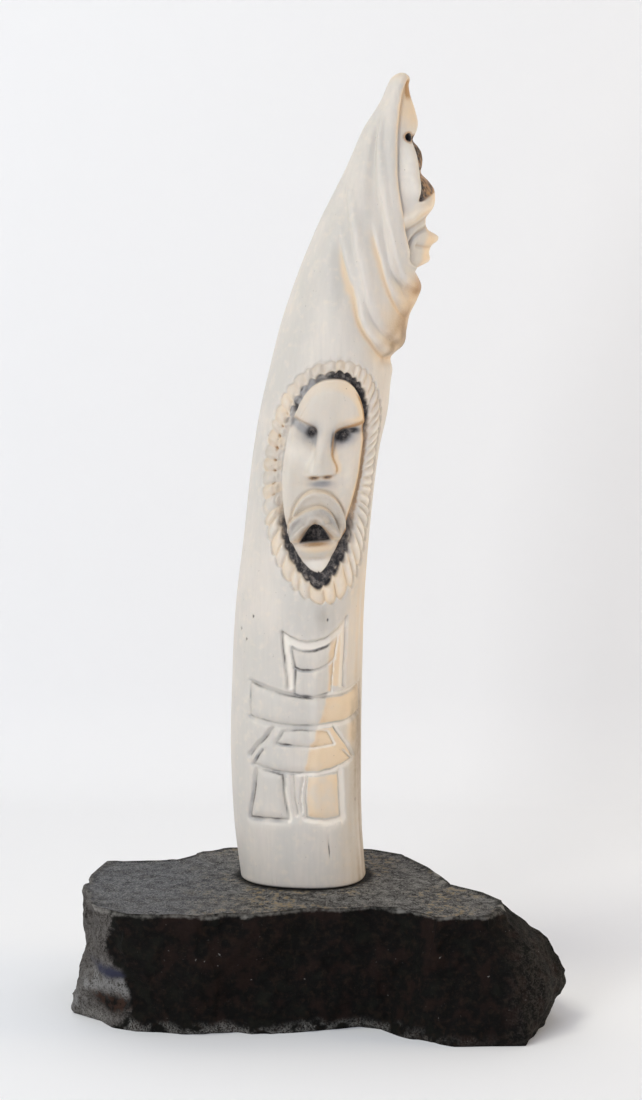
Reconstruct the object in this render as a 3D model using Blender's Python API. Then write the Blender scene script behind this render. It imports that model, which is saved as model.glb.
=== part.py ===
"""A carved tusk that stands on a rough block of dark stone, as two solids.

Metres, +Z up, the carved front toward -Y. The origin is under the middle of the stone.
"""

import math

import bpy
import numpy as np

# The stone block
STONE_LENGTH = 0.193
STONE_DEPTH = 0.120
STONE_HEIGHT = 0.047
RIM_ROUND = 0.0016
CHIP_DEPTH = 0.0022
CHIP_REACH = 0.024
STONE_SEED = 11

# The tusk, and where the middle of its foot stands on the stone
TUSK_HEIGHT = 0.3154
TUSK_WIDTH = 0.0518
TUSK_DEPTH = 0.0440
FOOT_PLACE = (-0.0051, 0.0100)
SEAT_GAP = 0.0003
FOOT_ROUND = 0.0008
TIP_ROUND = 0.0029

# The mask and the fur ruff round it: its middle as a share of the height, then
# how far each stands off the front line, and how many degrees it leans
MASK_PLACE = 0.517
MASK_SHIFT = 0.0004
MASK_LEAN = 4.2
MASK_WIDTH = 0.0325
MASK_HEIGHT = 0.0755
BEVEL_DEPTH = 0.0011
RUFF_SHIFT = 0.0011
RUFF_LEAN = 7.5
RUFF_WIDTH = 0.0530
RUFF_HEIGHT = 0.0953
MOAT_DEPTH = 0.0032
LOCK_HEIGHT = 0.0013
LOCK_PITCH = 0.0049
LOCK_SWEEP = 0.3
BEAD_HEIGHT = 0.0007
PIT_DEPTH = 0.0009
BROW_DEPTH = 0.0031
PUPIL_DEPTH = 0.0013
CHEEK_DEPTH = 0.0011
NOSE_WIDTH = 0.0103
NOSE_RISE = 0.0007
NOSTRIL_DEPTH = 0.0009
UNDER_NOSE_DEPTH = 0.0012
LIP_RISE = 0.0014
MOUTH_WIDTH = 0.0128
MOUTH_DEPTH = 0.0042
MOUTH_ROLL = 0.0006
LOWER_LIP_RISE = 0.0012
CHIN_CREASE = 0.0007

# The mask's features, as shares of its width and its height from its middle: the
# pupils' middle, half width and slant, the nostrils, and the two arched lips with
# their reach at the left and right, their rise and their roundness at each side
BROW_LEVEL = 0.24
FACE_SLANT = 0.075
PUPILS = ((-0.185, 0.243, 0.06, 0.0), (0.235, 0.212, 0.13, -0.2))
NOSTRILS = (-0.095, 0.065)
LIPS = ((0.355, 0.355, 0.236, 2.2, 2.2), (0.42, 0.225, 0.157, 1.5, 2.2))
LIP_BASE = -0.315
MOUTH_TOP = -0.243
MOUTH_FLOOR = -0.338
MOUTH_MIDDLE = -0.062

# The hooded head in profile and its drapery
HOOD_THICKNESS = 0.0018
HEM_RISE = 0.0005
HEM_WIDTH = 0.0016
HEM_STEP = 0.0008
FACE_HOLLOW = 0.0030
CHEEK_RISE = 0.0021
EYE_WIDTH = 0.0030
EYE_DEPTH = 0.0022
EYE_HOLLOW = 0.0005
OPENING_DEPTH = 0.0035
OPENING_ROLL = 0.0008
CORNER_DEPTH = 0.0018
FACE_LINE_WIDTH = 0.0009
FOLD_DEPTH = 0.0013
FOLD_ROLL = 0.0006
FOLD_SHARP = 0.0012
FOLD_SOFT = 0.0032
ROLL_PLACE = 0.0028
ROLL_WIDTH = 0.0018

# The incised figure of stacked stones
LINE_DEPTH = 0.0008
BAND_DEPTH = 0.0011
CREST_DEPTH = 0.0006
CREST_MIDDLE = 0.003
CREST_FADE = 0.015
CUT_UNIT = 0.00032
WALL_WIDTH = 0.0006
EDGE_ROLL = 0.0011

# How finely the forms are worked out, and what is kept of them
TUSK_COLUMNS = 220
TUSK_ROWS = 430
TUSK_TRIANGLES = 7400
STONE_COLUMNS = 76

# The cross-section: a squarish oval, turned a little toward the right
SECTION_POWER = 2.35
SECTION_FLATNESS = 0.86
SECTION_TURN = math.radians(-10)

# The uncut tusk, up its height: place and middle as shares of the height,
# half width and half depth as shares of the width and the depth
TUSK_FORM = (
    (0.000, -0.0011, 0.481, 0.489),
    (0.063, -0.0075, 0.490, 0.495),
    (0.159, -0.0103, 0.500, 0.500),
    (0.254, -0.0089, 0.496, 0.500),
    (0.349, -0.0052, 0.488, 0.495),
    (0.444, 0.0040, 0.475, 0.489),
    (0.539, 0.0149, 0.475, 0.477),
    (0.595, 0.0253, 0.479, 0.471),
    (0.634, 0.0318, 0.465, 0.466),
    (0.698, 0.0504, 0.481, 0.450),
    (0.761, 0.0726, 0.483, 0.420),
    (0.824, 0.0919, 0.440, 0.364),
    (0.888, 0.1030, 0.311, 0.295),
    (0.935, 0.1078, 0.212, 0.216),
    (0.967, 0.1134, 0.125, 0.148),
    (0.989, 0.1162, 0.082, 0.092),
    (1.000, 0.1187, 0.062, 0.068),
)

# The carved right edge, from the drapery up to the brow: place and reach as shares
# of the height, and how many degrees round the tusk each form spreads
PROFILE = (
    (0.632, 0.1085, 30),
    (0.645, 0.1080, 30),
    (0.656, 0.1072, 34),
    (0.671, 0.1222, 34),
    (0.690, 0.1264, 34),
    (0.708, 0.1302, 34),
    (0.727, 0.1393, 34),
    (0.744, 0.1440, 34),
    (0.755, 0.1395, 32),
    (0.763, 0.1358, 34),
    (0.773, 0.1530, 30),
    (0.785, 0.1535, 28),
    (0.793, 0.1572, 22),
    (0.798, 0.1632, 18),
    (0.803, 0.1642, 18),
    (0.812, 0.1512, 24),
    (0.822, 0.1481, 30),
    (0.840, 0.1573, 36),
    (0.851, 0.1604, 38),
    (0.861, 0.1588, 38),
    (0.871, 0.1515, 34),
    (0.880, 0.1430, 30),
    (0.889, 0.1446, 15),
    (0.899, 0.1448, 13),
    (0.909, 0.1415, 13),
    (0.920, 0.1329, 30),
    (0.928, 0.1366, 44),
    (0.937, 0.1388, 44),
    (0.956, 0.1350, 46),
    (0.975, 0.1287, 46),
    (0.994, 0.1262, 46),
)
PROFILE_TOP = 0.985

# The hood's edge: share of the height, degrees round from the profile
HOOD_EDGE = (
    (0.760, 8),
    (0.770, 45),
    (0.787, 57),
    (0.810, 68),
    (0.837, 76),
    (0.873, 84),
    (0.908, 87),
    (0.945, 88),
    (0.963, 88),
    (0.978, 81),
    (0.994, 52),
)
CHIN_PLACE = 0.764
EYE_PLACE = (0.62, 0.9225)
OPENING_PLACE = 0.868

# Lines of the face below the eye: degrees round from the profile and share of the
# height along each, and how far it stands up or sinks
FACE_LINES = (
    (((0, 0.853), (27, 0.848), (50, 0.841), (62, 0.831), (76, 0.826)), 0.0010),
    (((0, 0.822), (30, 0.815), (50, 0.808), (58, 0.795), (54, 0.772)), -0.0010),
    (((0, 0.7905), (25, 0.7915), (46, 0.794)), -0.0007),
)

# The folds of the drapery: degrees round from the profile, share of the height
FOLDS = (
    ((128, 0.954), (119, 0.925), (109, 0.882), (99, 0.842), (82, 0.787), (64, 0.755), (30, 0.738),
     (0, 0.733)),
    ((95, 0.831), (82, 0.799), (70, 0.774), (52, 0.745), (34, 0.727), (0, 0.712)),
    ((105, 0.835), (97, 0.803), (84, 0.772), (70, 0.744), (52, 0.722), (30, 0.708), (0, 0.703)),
    ((168, 0.887), (137, 0.851), (118, 0.814), (106, 0.781), (92, 0.740), (74, 0.706), (50, 0.684),
     (20, 0.672), (0, 0.668)),
    ((134, 0.824), (119, 0.788), (108, 0.762), (96, 0.730), (84, 0.700), (66, 0.678), (40, 0.660),
     (0, 0.656)),
)
FOLD_WEIGHTS = (1.0, 0.6, 0.7, 0.9, 1.25)
DEGREE_WIDTH = 0.0004

# The stacked stones, as shares of the tusk's height from its front line and foot:
# bottom left, top left, top right and bottom right corner, how far the top and the
# bottom sag, and the widths of the cuts at the left, top, right and bottom, in cut
# units. A cut slopes down to the stone from outside, or from inside where it is
# below 0
STONES = (
    ((-0.018, 0.254), (-0.029, 0.325), (0.049, 0.338), (0.046, 0.254), 0.024, 0.0, (-8, -9, -7, 0)),
    ((-0.016, 0.281), (-0.020, 0.310), (0.043, 0.322), (0.036, 0.292), 0.014, 0.008, (2, 2, 2, 3)),
    ((-0.015, 0.247), (-0.014, 0.277), (0.033, 0.289), (0.033, 0.248), 0.0, 0.003, (2, 0, 1, 2)),
    ((-0.073, 0.217), (-0.074, 0.258), (0.081, 0.247), (0.090, 0.219), 0.010, 0.008, (2, 4, 2, 4)),
    ((-0.073, 0.166), (-0.041, 0.205), (0.036, 0.204), (0.069, 0.163), 0.0, 0.0, (4, 0, 4, 0)),
    ((-0.037, 0.185), (-0.028, 0.201), (0.028, 0.197), (0.036, 0.183), -0.003, 0.003, (2, 3, 3, 3)),
    ((-0.068, 0.156), (-0.055, 0.174), (0.051, 0.172), (0.066, 0.160), -0.008, 0.011, (3, 0, 2, 4)),
    ((-0.074, 0.088), (-0.063, 0.151), (-0.028, 0.144), (-0.022, 0.089), 0.0, 0.0, (3, 4, 3, 4)),
    ((-0.012, 0.094), (-0.013, 0.143), (-0.003, 0.142), (-0.008, 0.096), 0.0, 0.0, (4, 0, 2, 0)),
    ((-0.003, 0.090), (0.000, 0.143), (0.043, 0.146), (0.047, 0.090), 0.0, 0.003, (4, 3, 4, 4)),
)
WIDE_CUT = 4
CREST_PLACE = 0.0135
CREST_HALF = 0.014

# The stone's outline at its top and at its underside, as shares of its length and
# depth from their middles, and how far each corner swells out between the two
BLOCK_CORNERS = (
    ((-0.458, 0.085), (-0.474, 0.100), 0.001),
    ((-0.466, -0.046), (-0.486, -0.040), -0.002),
    ((-0.470, -0.225), (-0.489, -0.165), -0.002),
    ((-0.430, -0.296), (-0.420, -0.292), 0.002),
    ((-0.366, -0.362), (-0.348, -0.360), 0.001),
    ((-0.243, -0.394), (-0.213, -0.392), 0.001),
    ((-0.114, -0.372), (-0.115, -0.392), 0.001),
    ((-0.014, -0.310), (-0.034, -0.373), 0.001),
    ((0.098, -0.318), (0.085, -0.322), 0.002),
    ((0.194, -0.318), (0.149, -0.355), 0.002),
    ((0.250, -0.405), (0.193, -0.420), 0.001),
    ((0.311, -0.413), (0.285, -0.500), 0.000),
    ((0.362, -0.416), (0.425, -0.487), 0.002),
    ((0.382, -0.310), (0.448, -0.398), 0.010),
    ((0.392, -0.207), (0.436, -0.170), 0.020),
    ((0.366, -0.138), (0.440, -0.020), 0.012),
    ((0.298, -0.034), (0.440, 0.180), 0.003),
    ((0.253, 0.183), (0.361, 0.300), 0.002),
    ((0.200, 0.346), (0.243, 0.433), 0.001),
    ((0.103, 0.449), (0.094, 0.500), 0.000),
    ((-0.176, 0.437), (-0.174, 0.483), 0.000),
    ((-0.232, 0.384), (-0.260, 0.420), 0.000),
    ((-0.284, 0.282), (-0.324, 0.370), 0.001),
    ((-0.432, 0.258), (-0.450, 0.283), 0.001),
)
BELLY_PLACE = 0.44
BLOCK_LEVELS = (0.0, 0.035, 0.16, 0.3, 0.42, 0.56, 0.7, 0.85, 0.965, 1.0)
BELLY_REACH = 0.5
CHIP_COUNT = 46
SPARED_EDGE = 0.006


def ramp(low, high, value):
    """0 below the low value, 1 above the high one, and a soft slope between."""
    share = np.clip((value - low) / (high - low), 0.0, 1.0)
    return share * share * (3.0 - 2.0 * share)


def bell(value, middle, half_width):
    """1 at the middle, falling away evenly on both sides."""
    return np.exp(-(((value - middle) / half_width) ** 2))


def curve(place, stations, column):
    """A smooth curve through one column of the stations, read at each place."""
    places = np.array([station[0] for station in stations], float)
    values = np.array([station[column] for station in stations], float)
    slopes = np.gradient(values, places)
    low = np.clip(np.searchsorted(places, place) - 1, 0, len(places) - 2)
    step = places[low + 1] - places[low]
    t = np.clip((place - places[low]) / step, 0.0, 1.0)
    start = (2 * t**3 - 3 * t**2 + 1) * values[low] + (t**3 - 2 * t**2 + t) * step * slopes[low]
    return start + (3 * t**2 - 2 * t**3) * values[low + 1] + (t**3 - t**2) * step * slopes[low + 1]


def smooth_line(points, steps=6):
    """A line through the points with rounded bends, as more points."""
    knots = np.array(points, float)
    place = np.linspace(0, len(knots) - 1, (len(knots) - 1) * steps + 1)
    return np.stack(
        [curve(place, [(i, value) for i, value in enumerate(axis)], 1) for axis in knots.T], axis=1
    )


def line_distance(across, up, line):
    """Distance to the line, positive on its right-hand side, and the share of it there."""
    nearest = np.full(across.shape, np.inf)
    signed = np.zeros(across.shape)
    share = np.zeros(across.shape)
    for index, (start, end) in enumerate(zip(line[:-1], line[1:])):
        run_x, run_y = end - start
        length = run_x**2 + run_y**2
        t = np.clip(((across - start[0]) * run_x + (up - start[1]) * run_y) / length, 0.0, 1.0)
        off_x = across - start[0] - t * run_x
        off_y = up - start[1] - t * run_y
        gap = np.hypot(off_x, off_y)
        closer = gap < nearest
        nearest = np.where(closer, gap, nearest)
        signed = np.where(closer, np.sign(off_x * run_y - off_y * run_x) * gap, signed)
        share = np.where(closer, (index + t) / (len(line) - 1), share)
    return signed, share


def egg(across, up, half_width, top, bottom, top_power, bottom_power):
    """How far out a place lies from the middle of an egg outline: 1 on the outline."""
    reach = np.where(up > 0, top, bottom)
    power = np.where(up > 0, top_power, bottom_power)
    return (np.abs(across / half_width) ** power + np.abs(up / reach) ** power) ** (1 / power)


def leaned(across, up, degrees):
    """The same place seen in a frame that leans to the left by some degrees."""
    c, s = math.cos(math.radians(degrees)), math.sin(math.radians(degrees))
    return across * c + up * s, up * c - across * s


def section(angle):
    """The unit cross-section: its outline, and the direction square to it."""
    c, s = np.cos(angle), np.sin(angle)
    x = np.sign(c) * np.abs(c) ** (2 / SECTION_POWER)
    y = np.sign(s) * np.abs(s) ** (2 / SECTION_POWER) * SECTION_FLATNESS
    out_x = np.sign(c) * np.abs(c) ** (2 - 2 / SECTION_POWER)
    out_y = np.sign(s) * np.abs(s) ** (2 - 2 / SECTION_POWER) / SECTION_FLATNESS
    c, s = math.cos(SECTION_TURN), math.sin(SECTION_TURN)
    return x * c - y * s, x * s + y * c, out_x * c - out_y * s, out_x * s + out_y * c


# The section's reach each way, and the angles of its front line and its right side
ROUND = np.linspace(-math.pi, math.pi, 1440, endpoint=False)
ROUND_X, ROUND_Y = section(ROUND)[:2]
REACH_X, REACH_Y = ROUND_X.max(), ROUND_Y.max()
FRONT_ANGLE = ROUND[ROUND_Y.argmin()]
SIDE_ANGLE = ROUND[ROUND_X.argmax()]


def crowded_angles(count):
    """Angles once round the tusk from its back, close together on the carved side."""
    turn = np.linspace(-math.pi, math.pi, 1441)
    carved = ramp(-1.5, -1.2, turn) * (1 - ramp(1.9, 2.3, turn))
    share = np.concatenate([[0.0], np.cumsum(1 + 2.2 * carved[:-1])])
    return np.interp(np.arange(count) / count, share / share[-1], turn)


def ring_heights(count):
    """Heights of the rings, with the rounded foot and tip, and how far each draws in."""
    foot = np.linspace(0, math.pi / 2, 4)
    tip = np.linspace(0, math.radians(83), 6)
    body = np.linspace(FOOT_ROUND, TUSK_HEIGHT - TIP_ROUND, count)[1:-1]
    heights = np.concatenate([
        FOOT_ROUND * (1 - np.cos(foot)),
        body,
        TUSK_HEIGHT - TIP_ROUND + TIP_ROUND * np.sin(tip) / math.sin(tip[-1]),
    ])
    inset = np.concatenate([FOOT_ROUND * (1 - np.sin(foot)), np.zeros(len(body) + len(tip))])
    scale = np.concatenate([np.ones(len(foot) + len(body)), np.cos(tip)])
    return heights, inset, scale


def ruff_and_mask(across, up):
    """Relief of the open-mouthed mask and the ring of fur locks round it."""
    up = up - MASK_PLACE * TUSK_HEIGHT
    mask_x, mask_y = leaned(across + MASK_SHIFT, up, MASK_LEAN)
    ruff_x, ruff_y = leaned(across - RUFF_SHIFT, up, RUFF_LEAN)
    chin_power = np.where(mask_x > 0, 1.3, 1.9)
    mask = egg(mask_x, mask_y, MASK_WIDTH / 2, 0.49 * MASK_HEIGHT, 0.505 * MASK_HEIGHT, 2.4, chin_power)
    ruff = egg(ruff_x, ruff_y, RUFF_WIDTH / 2, 0.466 * RUFF_HEIGHT, 0.53 * RUFF_HEIGHT, 2.2, 1.95)
    share = (mask - 1) / np.maximum(mask - ruff, 1e-6)
    turn = np.arctan2(ruff_y / RUFF_HEIGHT, ruff_x / RUFF_WIDTH)

    # Lock by lock round the ring, finer at the top and right, coarser at the lower left
    table = np.linspace(-math.pi, math.pi, 721)
    speed = np.hypot(RUFF_WIDTH * np.sin(table), RUFF_HEIGHT * np.cos(table)) / 2
    pitch = LOCK_PITCH * (1 + 0.16 * np.cos(table - math.radians(205)))
    count = np.concatenate([[0.0], np.cumsum((speed / pitch)[:-1]) * (table[1] - table[0])])
    count *= round(count[-1]) / count[-1]
    lock = (np.interp(turn, table, count) - LOCK_SWEEP * share) % 1.0 * 2 - 1

    # The moat between the mask and the locks: deep above and below, faint at the left
    left = bell(np.mod(turn, 2 * math.pi), math.radians(165), 0.55)
    right = bell(turn, math.radians(-8), 0.6)
    moat_end = 0.47 - 0.20 * left - 0.26 * right + 0.1 * bell(turn, math.radians(-90), 0.8)
    moat_depth = MOAT_DEPTH * (1 - 0.66 * left - 0.3 * right - 0.35 * bell(turn, math.radians(125), 0.4))
    floor = -moat_depth + (moat_depth - 0.8 * LOCK_HEIGHT) * ramp(moat_end - 0.08, moat_end + 0.1, share)
    length = (share - (moat_end + 1) / 2) / ((1 - moat_end) / 2 + 0.02)
    body = np.clip(1 - np.abs(lock) ** 2.2, 0, 1) ** 0.65 * np.clip(1 - np.abs(length) ** 2.4, 0, 1) ** 0.6
    inner = np.clip(1 - lock**2, 0, 1) * bell(share, 0.8 * moat_end, 0.11)
    pits = left * bell(share, moat_end, 0.09) * np.abs(lock) ** 3
    ring = floor + LOCK_HEIGHT * body + BEAD_HEIGHT * inner - PIT_DEPTH * pits
    outside = ramp(0.985, 1.03, share + 0.1 * lock**2)
    ring = ring * (1 - outside)
    inside = 1 - ramp(0.985, 1.02, mask)
    return inside * mask_relief(mask_x, mask_y, mask) + (1 - inside) * ring * (mask > ruff)


def mask_relief(across, up, mask):
    """Relief of the mask: brows, sunk eyes, wedge nose and arched lips round the mouth."""
    x = across / MASK_WIDTH
    y = up / MASK_HEIGHT
    size = np.abs(x)
    height = -BEVEL_DEPTH * ramp(0.84, 1.0, mask) * (1 - 0.6 * bell(x, -0.5, 0.14))

    # Eye hollows under the slanting brows, deepest beside the nose
    outward = np.clip((size - 0.1) / 0.36, 0, 1)
    below = BROW_LEVEL + 0.045 * outward**0.6 - FACE_SLANT * x - y
    beside = np.maximum(ramp(0.08, 0.125, size), ramp(0.0, -0.05, y))
    hollow = ramp(-0.004, 0.016, below) * (1 - 0.8 * ramp(0.03, 0.14, below))
    height -= BROW_DEPTH * hollow * beside * (1.15 - 0.75 * outward)
    for place_x, place_y, wide, lean in PUPILS:
        pupil = ((x - place_x) / wide) ** 2 + ((y - place_y - lean * (x - place_x)) / 0.028) ** 2
        height -= PUPIL_DEPTH * np.exp(-(pupil**1.5))

    # Cheeks fall back beside the nose, which widens to its wings and drops off sharply
    root = 0.075 + 0.02 * ramp(0.10, 0.24, below)
    wing = NOSE_WIDTH / MASK_WIDTH / 2
    side = root + (wing - root) * bell(y, 0.02, 0.055)
    nose = (1 - ramp(side, side + 0.045, np.abs(x + 0.012))) * ramp(-0.012, 0.004, y)
    cheek = -CHEEK_DEPTH * ramp(0.05, 0.2, below) * (1 - 0.5 * ramp(0.15, 0.42, size))
    round_bridge = np.clip(1 - ((x + 0.012) / side) ** 2, 0, 1)
    height = (height + cheek) * (1 - nose) + nose * NOSE_RISE * round_bridge * ramp(0.32, 0.05, y)
    height -= UNDER_NOSE_DEPTH * bell(y, -0.038, 0.024) * bell(x, -0.01, 0.2)
    for place in NOSTRILS:
        height -= NOSTRIL_DEPTH * bell(x, place, 0.045) * bell(y, -0.012, 0.011)

    # Two arched lips stepping up round the mouth, then the lower lip and the chin
    lip_x = x + 0.015
    lip_y = np.abs(y + FACE_SLANT * x - LIP_BASE)
    for left_reach, right_reach, rise, left_power, right_power in LIPS:
        reach = np.where(lip_x < 0, left_reach, right_reach)
        power = np.where(lip_x < 0, left_power, right_power)
        arch = np.abs(lip_x / reach) ** power + (lip_y / rise) ** power
        lip = LIP_RISE * (1 - ramp(0.86, 1.0, arch)) - 0.4 * LIP_RISE * bell(arch, 1.06, 0.09)
        height += lip * ramp(-0.345, -0.30, y)
    drop = np.clip((MOUTH_TOP - y) / (MOUTH_TOP - MOUTH_FLOOR), 0, 1)
    beside = np.abs(x - MOUTH_MIDDLE) - MOUTH_WIDTH / MASK_WIDTH / 2 * drop**0.62
    over = (y - MOUTH_TOP) * MASK_HEIGHT / MASK_WIDTH
    hole = 1 - ramp(-0.02, 0.02, beside)
    hole *= ramp(-0.008, 0.008, y - MOUTH_FLOOR)
    hole *= 1 - ramp(-0.02, 0.016, over)
    from_hole = np.hypot(np.clip(beside, 0, 1), np.clip(over, 0, 1))
    height += MOUTH_ROLL * bell(from_hole, 0.06, 0.05) * ramp(-0.02, 0.02, y - MOUTH_FLOOR)
    height = height * (1 - hole) - hole * MOUTH_DEPTH
    height += LOWER_LIP_RISE * bell(y, -0.372, 0.026) * bell(x, -0.04, 0.3)
    height -= CHIN_CREASE * bell(y, -0.425, 0.014) * bell(x, -0.05, 0.3)
    return height


def cut(gap, width, depth):
    """A slanted cut beside a stone: a broad slope, a steep wall and a rounded edge above it."""
    slope = ramp(-width, 0.0, gap) * (1 - ramp(0.0, WALL_WIDTH, gap))
    return -depth * np.maximum(slope, 0.35 * bell(gap, 0.0, EDGE_ROLL) * (gap > 0))


def bowed(start, end, sag):
    """A line from one corner to another that sags in its middle."""
    share = np.linspace(0, 1, 9)
    line = np.outer(1 - share, start) + np.outer(share, end)
    line[:, 1] -= 4 * sag * share * (1 - share)
    return line * TUSK_HEIGHT


def stacked_stones(across, up):
    """Relief of the incised landmark figure: each stone outlined by its own cuts."""
    height = np.zeros(across.shape)
    near = (up > 0.07 * TUSK_HEIGHT) & (up < 0.36 * TUSK_HEIGHT) & (np.abs(across) < 0.12 * TUSK_HEIGHT)
    x, y = across[near], up[near]
    found = np.zeros(x.shape)
    for low_left, top_left, top_right, low_right, top_sag, low_sag, widths in STONES:
        edges = (
            bowed(low_left, top_left, 0.0),
            bowed(top_left, top_right, top_sag),
            bowed(top_right, low_right, 0.0),
            bowed(low_right, low_left, low_sag),
        )
        for line, width in zip(edges, widths):
            if width:
                depth = BAND_DEPTH if abs(width) >= WIDE_CUT else LINE_DEPTH
                gap = line_distance(x, y, line)[0] * np.sign(width)
                found = np.minimum(found, cut(gap, abs(width) * CUT_UNIT, depth))
    crest = ramp(0.0, CREST_HALF, np.abs(x / TUSK_HEIGHT - CREST_PLACE))
    crest = crest * bell(x, CREST_MIDDLE, CREST_FADE)
    dressed = ramp(0.08, 0.095, y / TUSK_HEIGHT) * (1 - ramp(0.28, 0.30, y / TUSK_HEIGHT))
    height[near] = found - CREST_DEPTH * crest * dressed
    return height


def hooded_head(side, up, half_width, middle, radius):
    """Relief of the hooded face at the right, its hood and the folds that hang from it."""
    share = up / TUSK_HEIGHT
    level = np.clip(share, PROFILE[0][0], PROFILE_TOP)
    reach = curve(level, PROFILE, 1) * TUSK_HEIGHT - middle - half_width
    reach = reach * ramp(0.632, 0.645, share) * (1 - ramp(PROFILE_TOP, 0.996, share))
    spread = curve(level, PROFILE, 2)
    turn = np.abs(side)
    edge = curve(np.clip(share, HOOD_EDGE[0][0], HOOD_EDGE[-1][0]), HOOD_EDGE, 1)
    from_edge = np.radians(edge - turn) * radius
    within = ramp(0.0, HEM_STEP, from_edge) * ramp(CHIN_PLACE - 0.004, CHIN_PLACE + 0.004, share)
    within *= 1 - ramp(0.988, 0.996, share)
    place = np.clip(turn / np.maximum(edge, 1), 0, 1.5)

    hollow = FACE_HOLLOW * ramp(0.862, 0.875, share) * (1 - ramp(0.922, 0.932, share))
    ground = -HOOD_THICKNESS - hollow * bell(turn, 0, 38)
    face = ground + (reach + HOOD_THICKNESS + hollow) * bell(turn, 0, spread)
    cheek = bell(place, 0.64, 0.2) * ramp(0.825, 0.85, share) * (1 - ramp(0.895, 0.922, share))
    face += CHEEK_RISE * cheek
    eye = np.hypot((place - EYE_PLACE[0]) * np.radians(edge) * radius, (share - EYE_PLACE[1]) * TUSK_HEIGHT)
    face -= EYE_DEPTH * (1 - ramp(0.35 * EYE_WIDTH, 0.55 * EYE_WIDTH, eye))
    face -= EYE_HOLLOW * bell(eye, 0, EYE_WIDTH)
    rim = np.hypot(turn / 30, (share - OPENING_PLACE) / 0.015)
    face += OPENING_ROLL * bell(rim, 1.0, 0.35) * (1 - ramp(0.862, 0.872, share))
    face -= OPENING_DEPTH * (1 - ramp(0.45, 0.8, rim))
    face -= CORNER_DEPTH * bell(place, 0.5, 0.1) * ramp(0.845, 0.86, share) * (1 - ramp(0.878, 0.89, share))
    across = turn * DEGREE_WIDTH
    for points, rise in FACE_LINES:
        line = smooth_line([(x * DEGREE_WIDTH, y * TUSK_HEIGHT) for x, y in points])
        face += rise * bell(line_distance(across, up, line)[0], 0, FACE_LINE_WIDTH) * ramp(4, 16, turn)

    cloth = reach * bell(turn, 0, 36)
    cloth += HEM_RISE * bell(from_edge, -HEM_WIDTH, HEM_WIDTH) * ramp(0.76, 0.79, share)
    for fold, weight in zip(FOLDS, FOLD_WEIGHTS):
        line = smooth_line([(x * DEGREE_WIDTH, y * TUSK_HEIGHT) for x, y in fold])
        gap, along = line_distance(across, up, line)
        fade = ramp(0.0, 0.2, along) * ramp(6, 30, turn) * weight
        groove = np.where(gap > 0, bell(gap, 0, FOLD_SHARP), bell(gap, 0, FOLD_SOFT))
        cloth += fade * (FOLD_ROLL * bell(gap, ROLL_PLACE, ROLL_WIDTH) - FOLD_DEPTH * groove)
    cloth *= ramp(0.63, 0.65, share)
    return within * face + (1 - within) * cloth


def tusk_rings(columns, rows):
    """The carved surface, P = middle + section + relief square to it, ring by ring."""
    turn = crowded_angles(columns)
    x, y, out_x, out_y = section(FRONT_ANGLE + turn)
    up, inset, scale = (value[:, None] for value in ring_heights(rows))
    share = up / TUSK_HEIGHT
    middle = curve(share, TUSK_FORM, 1) * TUSK_HEIGHT
    half_width = curve(share, TUSK_FORM, 2) * TUSK_WIDTH
    half_depth = curve(share, TUSK_FORM, 3) * TUSK_DEPTH
    flat_x = half_width * x / REACH_X
    flat_y = half_depth * y / REACH_Y
    square_x = out_x / half_width * REACH_X
    square_y = out_y / half_depth * REACH_Y
    length = np.hypot(square_x, square_y)

    # Length round each ring from the front line
    step = np.hypot(np.diff(flat_x, axis=1), np.diff(flat_y, axis=1))
    around = np.concatenate([np.zeros_like(up), np.cumsum(step, axis=1)], axis=1)
    front = np.searchsorted(turn, 0.0)
    weight = -turn[front - 1] / (turn[front] - turn[front - 1])
    around -= (around[:, front - 1] * (1 - weight) + around[:, front] * weight)[:, None]

    side = np.degrees(SIDE_ANGLE - FRONT_ANGLE - turn)
    side = np.broadcast_to((side + 180) % 360 - 180, around.shape)
    height = np.broadcast_to(up, around.shape)
    radius = (half_width + half_depth) / 2
    relief = ruff_and_mask(around, height) + stacked_stones(around, height)
    relief = relief + hooded_head(side, height, half_width, middle, radius)
    relief = relief * ramp(0.0, 3 * FOOT_ROUND, up) - inset
    return np.stack([
        middle + scale * (flat_x + relief * square_x / length),
        scale * (flat_y + relief * square_y / length),
        height,
    ], axis=2)


def block_outlines(columns):
    """The stone's top and bottom outlines and its swelling, read evenly round it."""
    corners = len(BLOCK_CORNERS)
    size = np.array([STONE_LENGTH, STONE_DEPTH])
    top, low, belly = (np.array([corner[i] for corner in BLOCK_CORNERS]) for i in range(3))
    top, low = top * size, low * size
    step = np.linalg.norm(np.roll(top + low, -1, 0) - top - low, axis=1)
    place = np.concatenate([[0.0], np.cumsum(step)]) / step.sum() * corners
    at = np.sort(np.concatenate([place[:-1], np.linspace(0, corners, columns - corners, endpoint=False)]))
    closed = np.concatenate([np.arange(corners), [0]])

    def read(values):
        return np.interp(at, place, values[closed])

    return (
        np.stack([read(top[:, 0]), read(top[:, 1])], axis=1),
        np.stack([read(low[:, 0]), read(low[:, 1])], axis=1),
        read(belly),
    )


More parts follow.
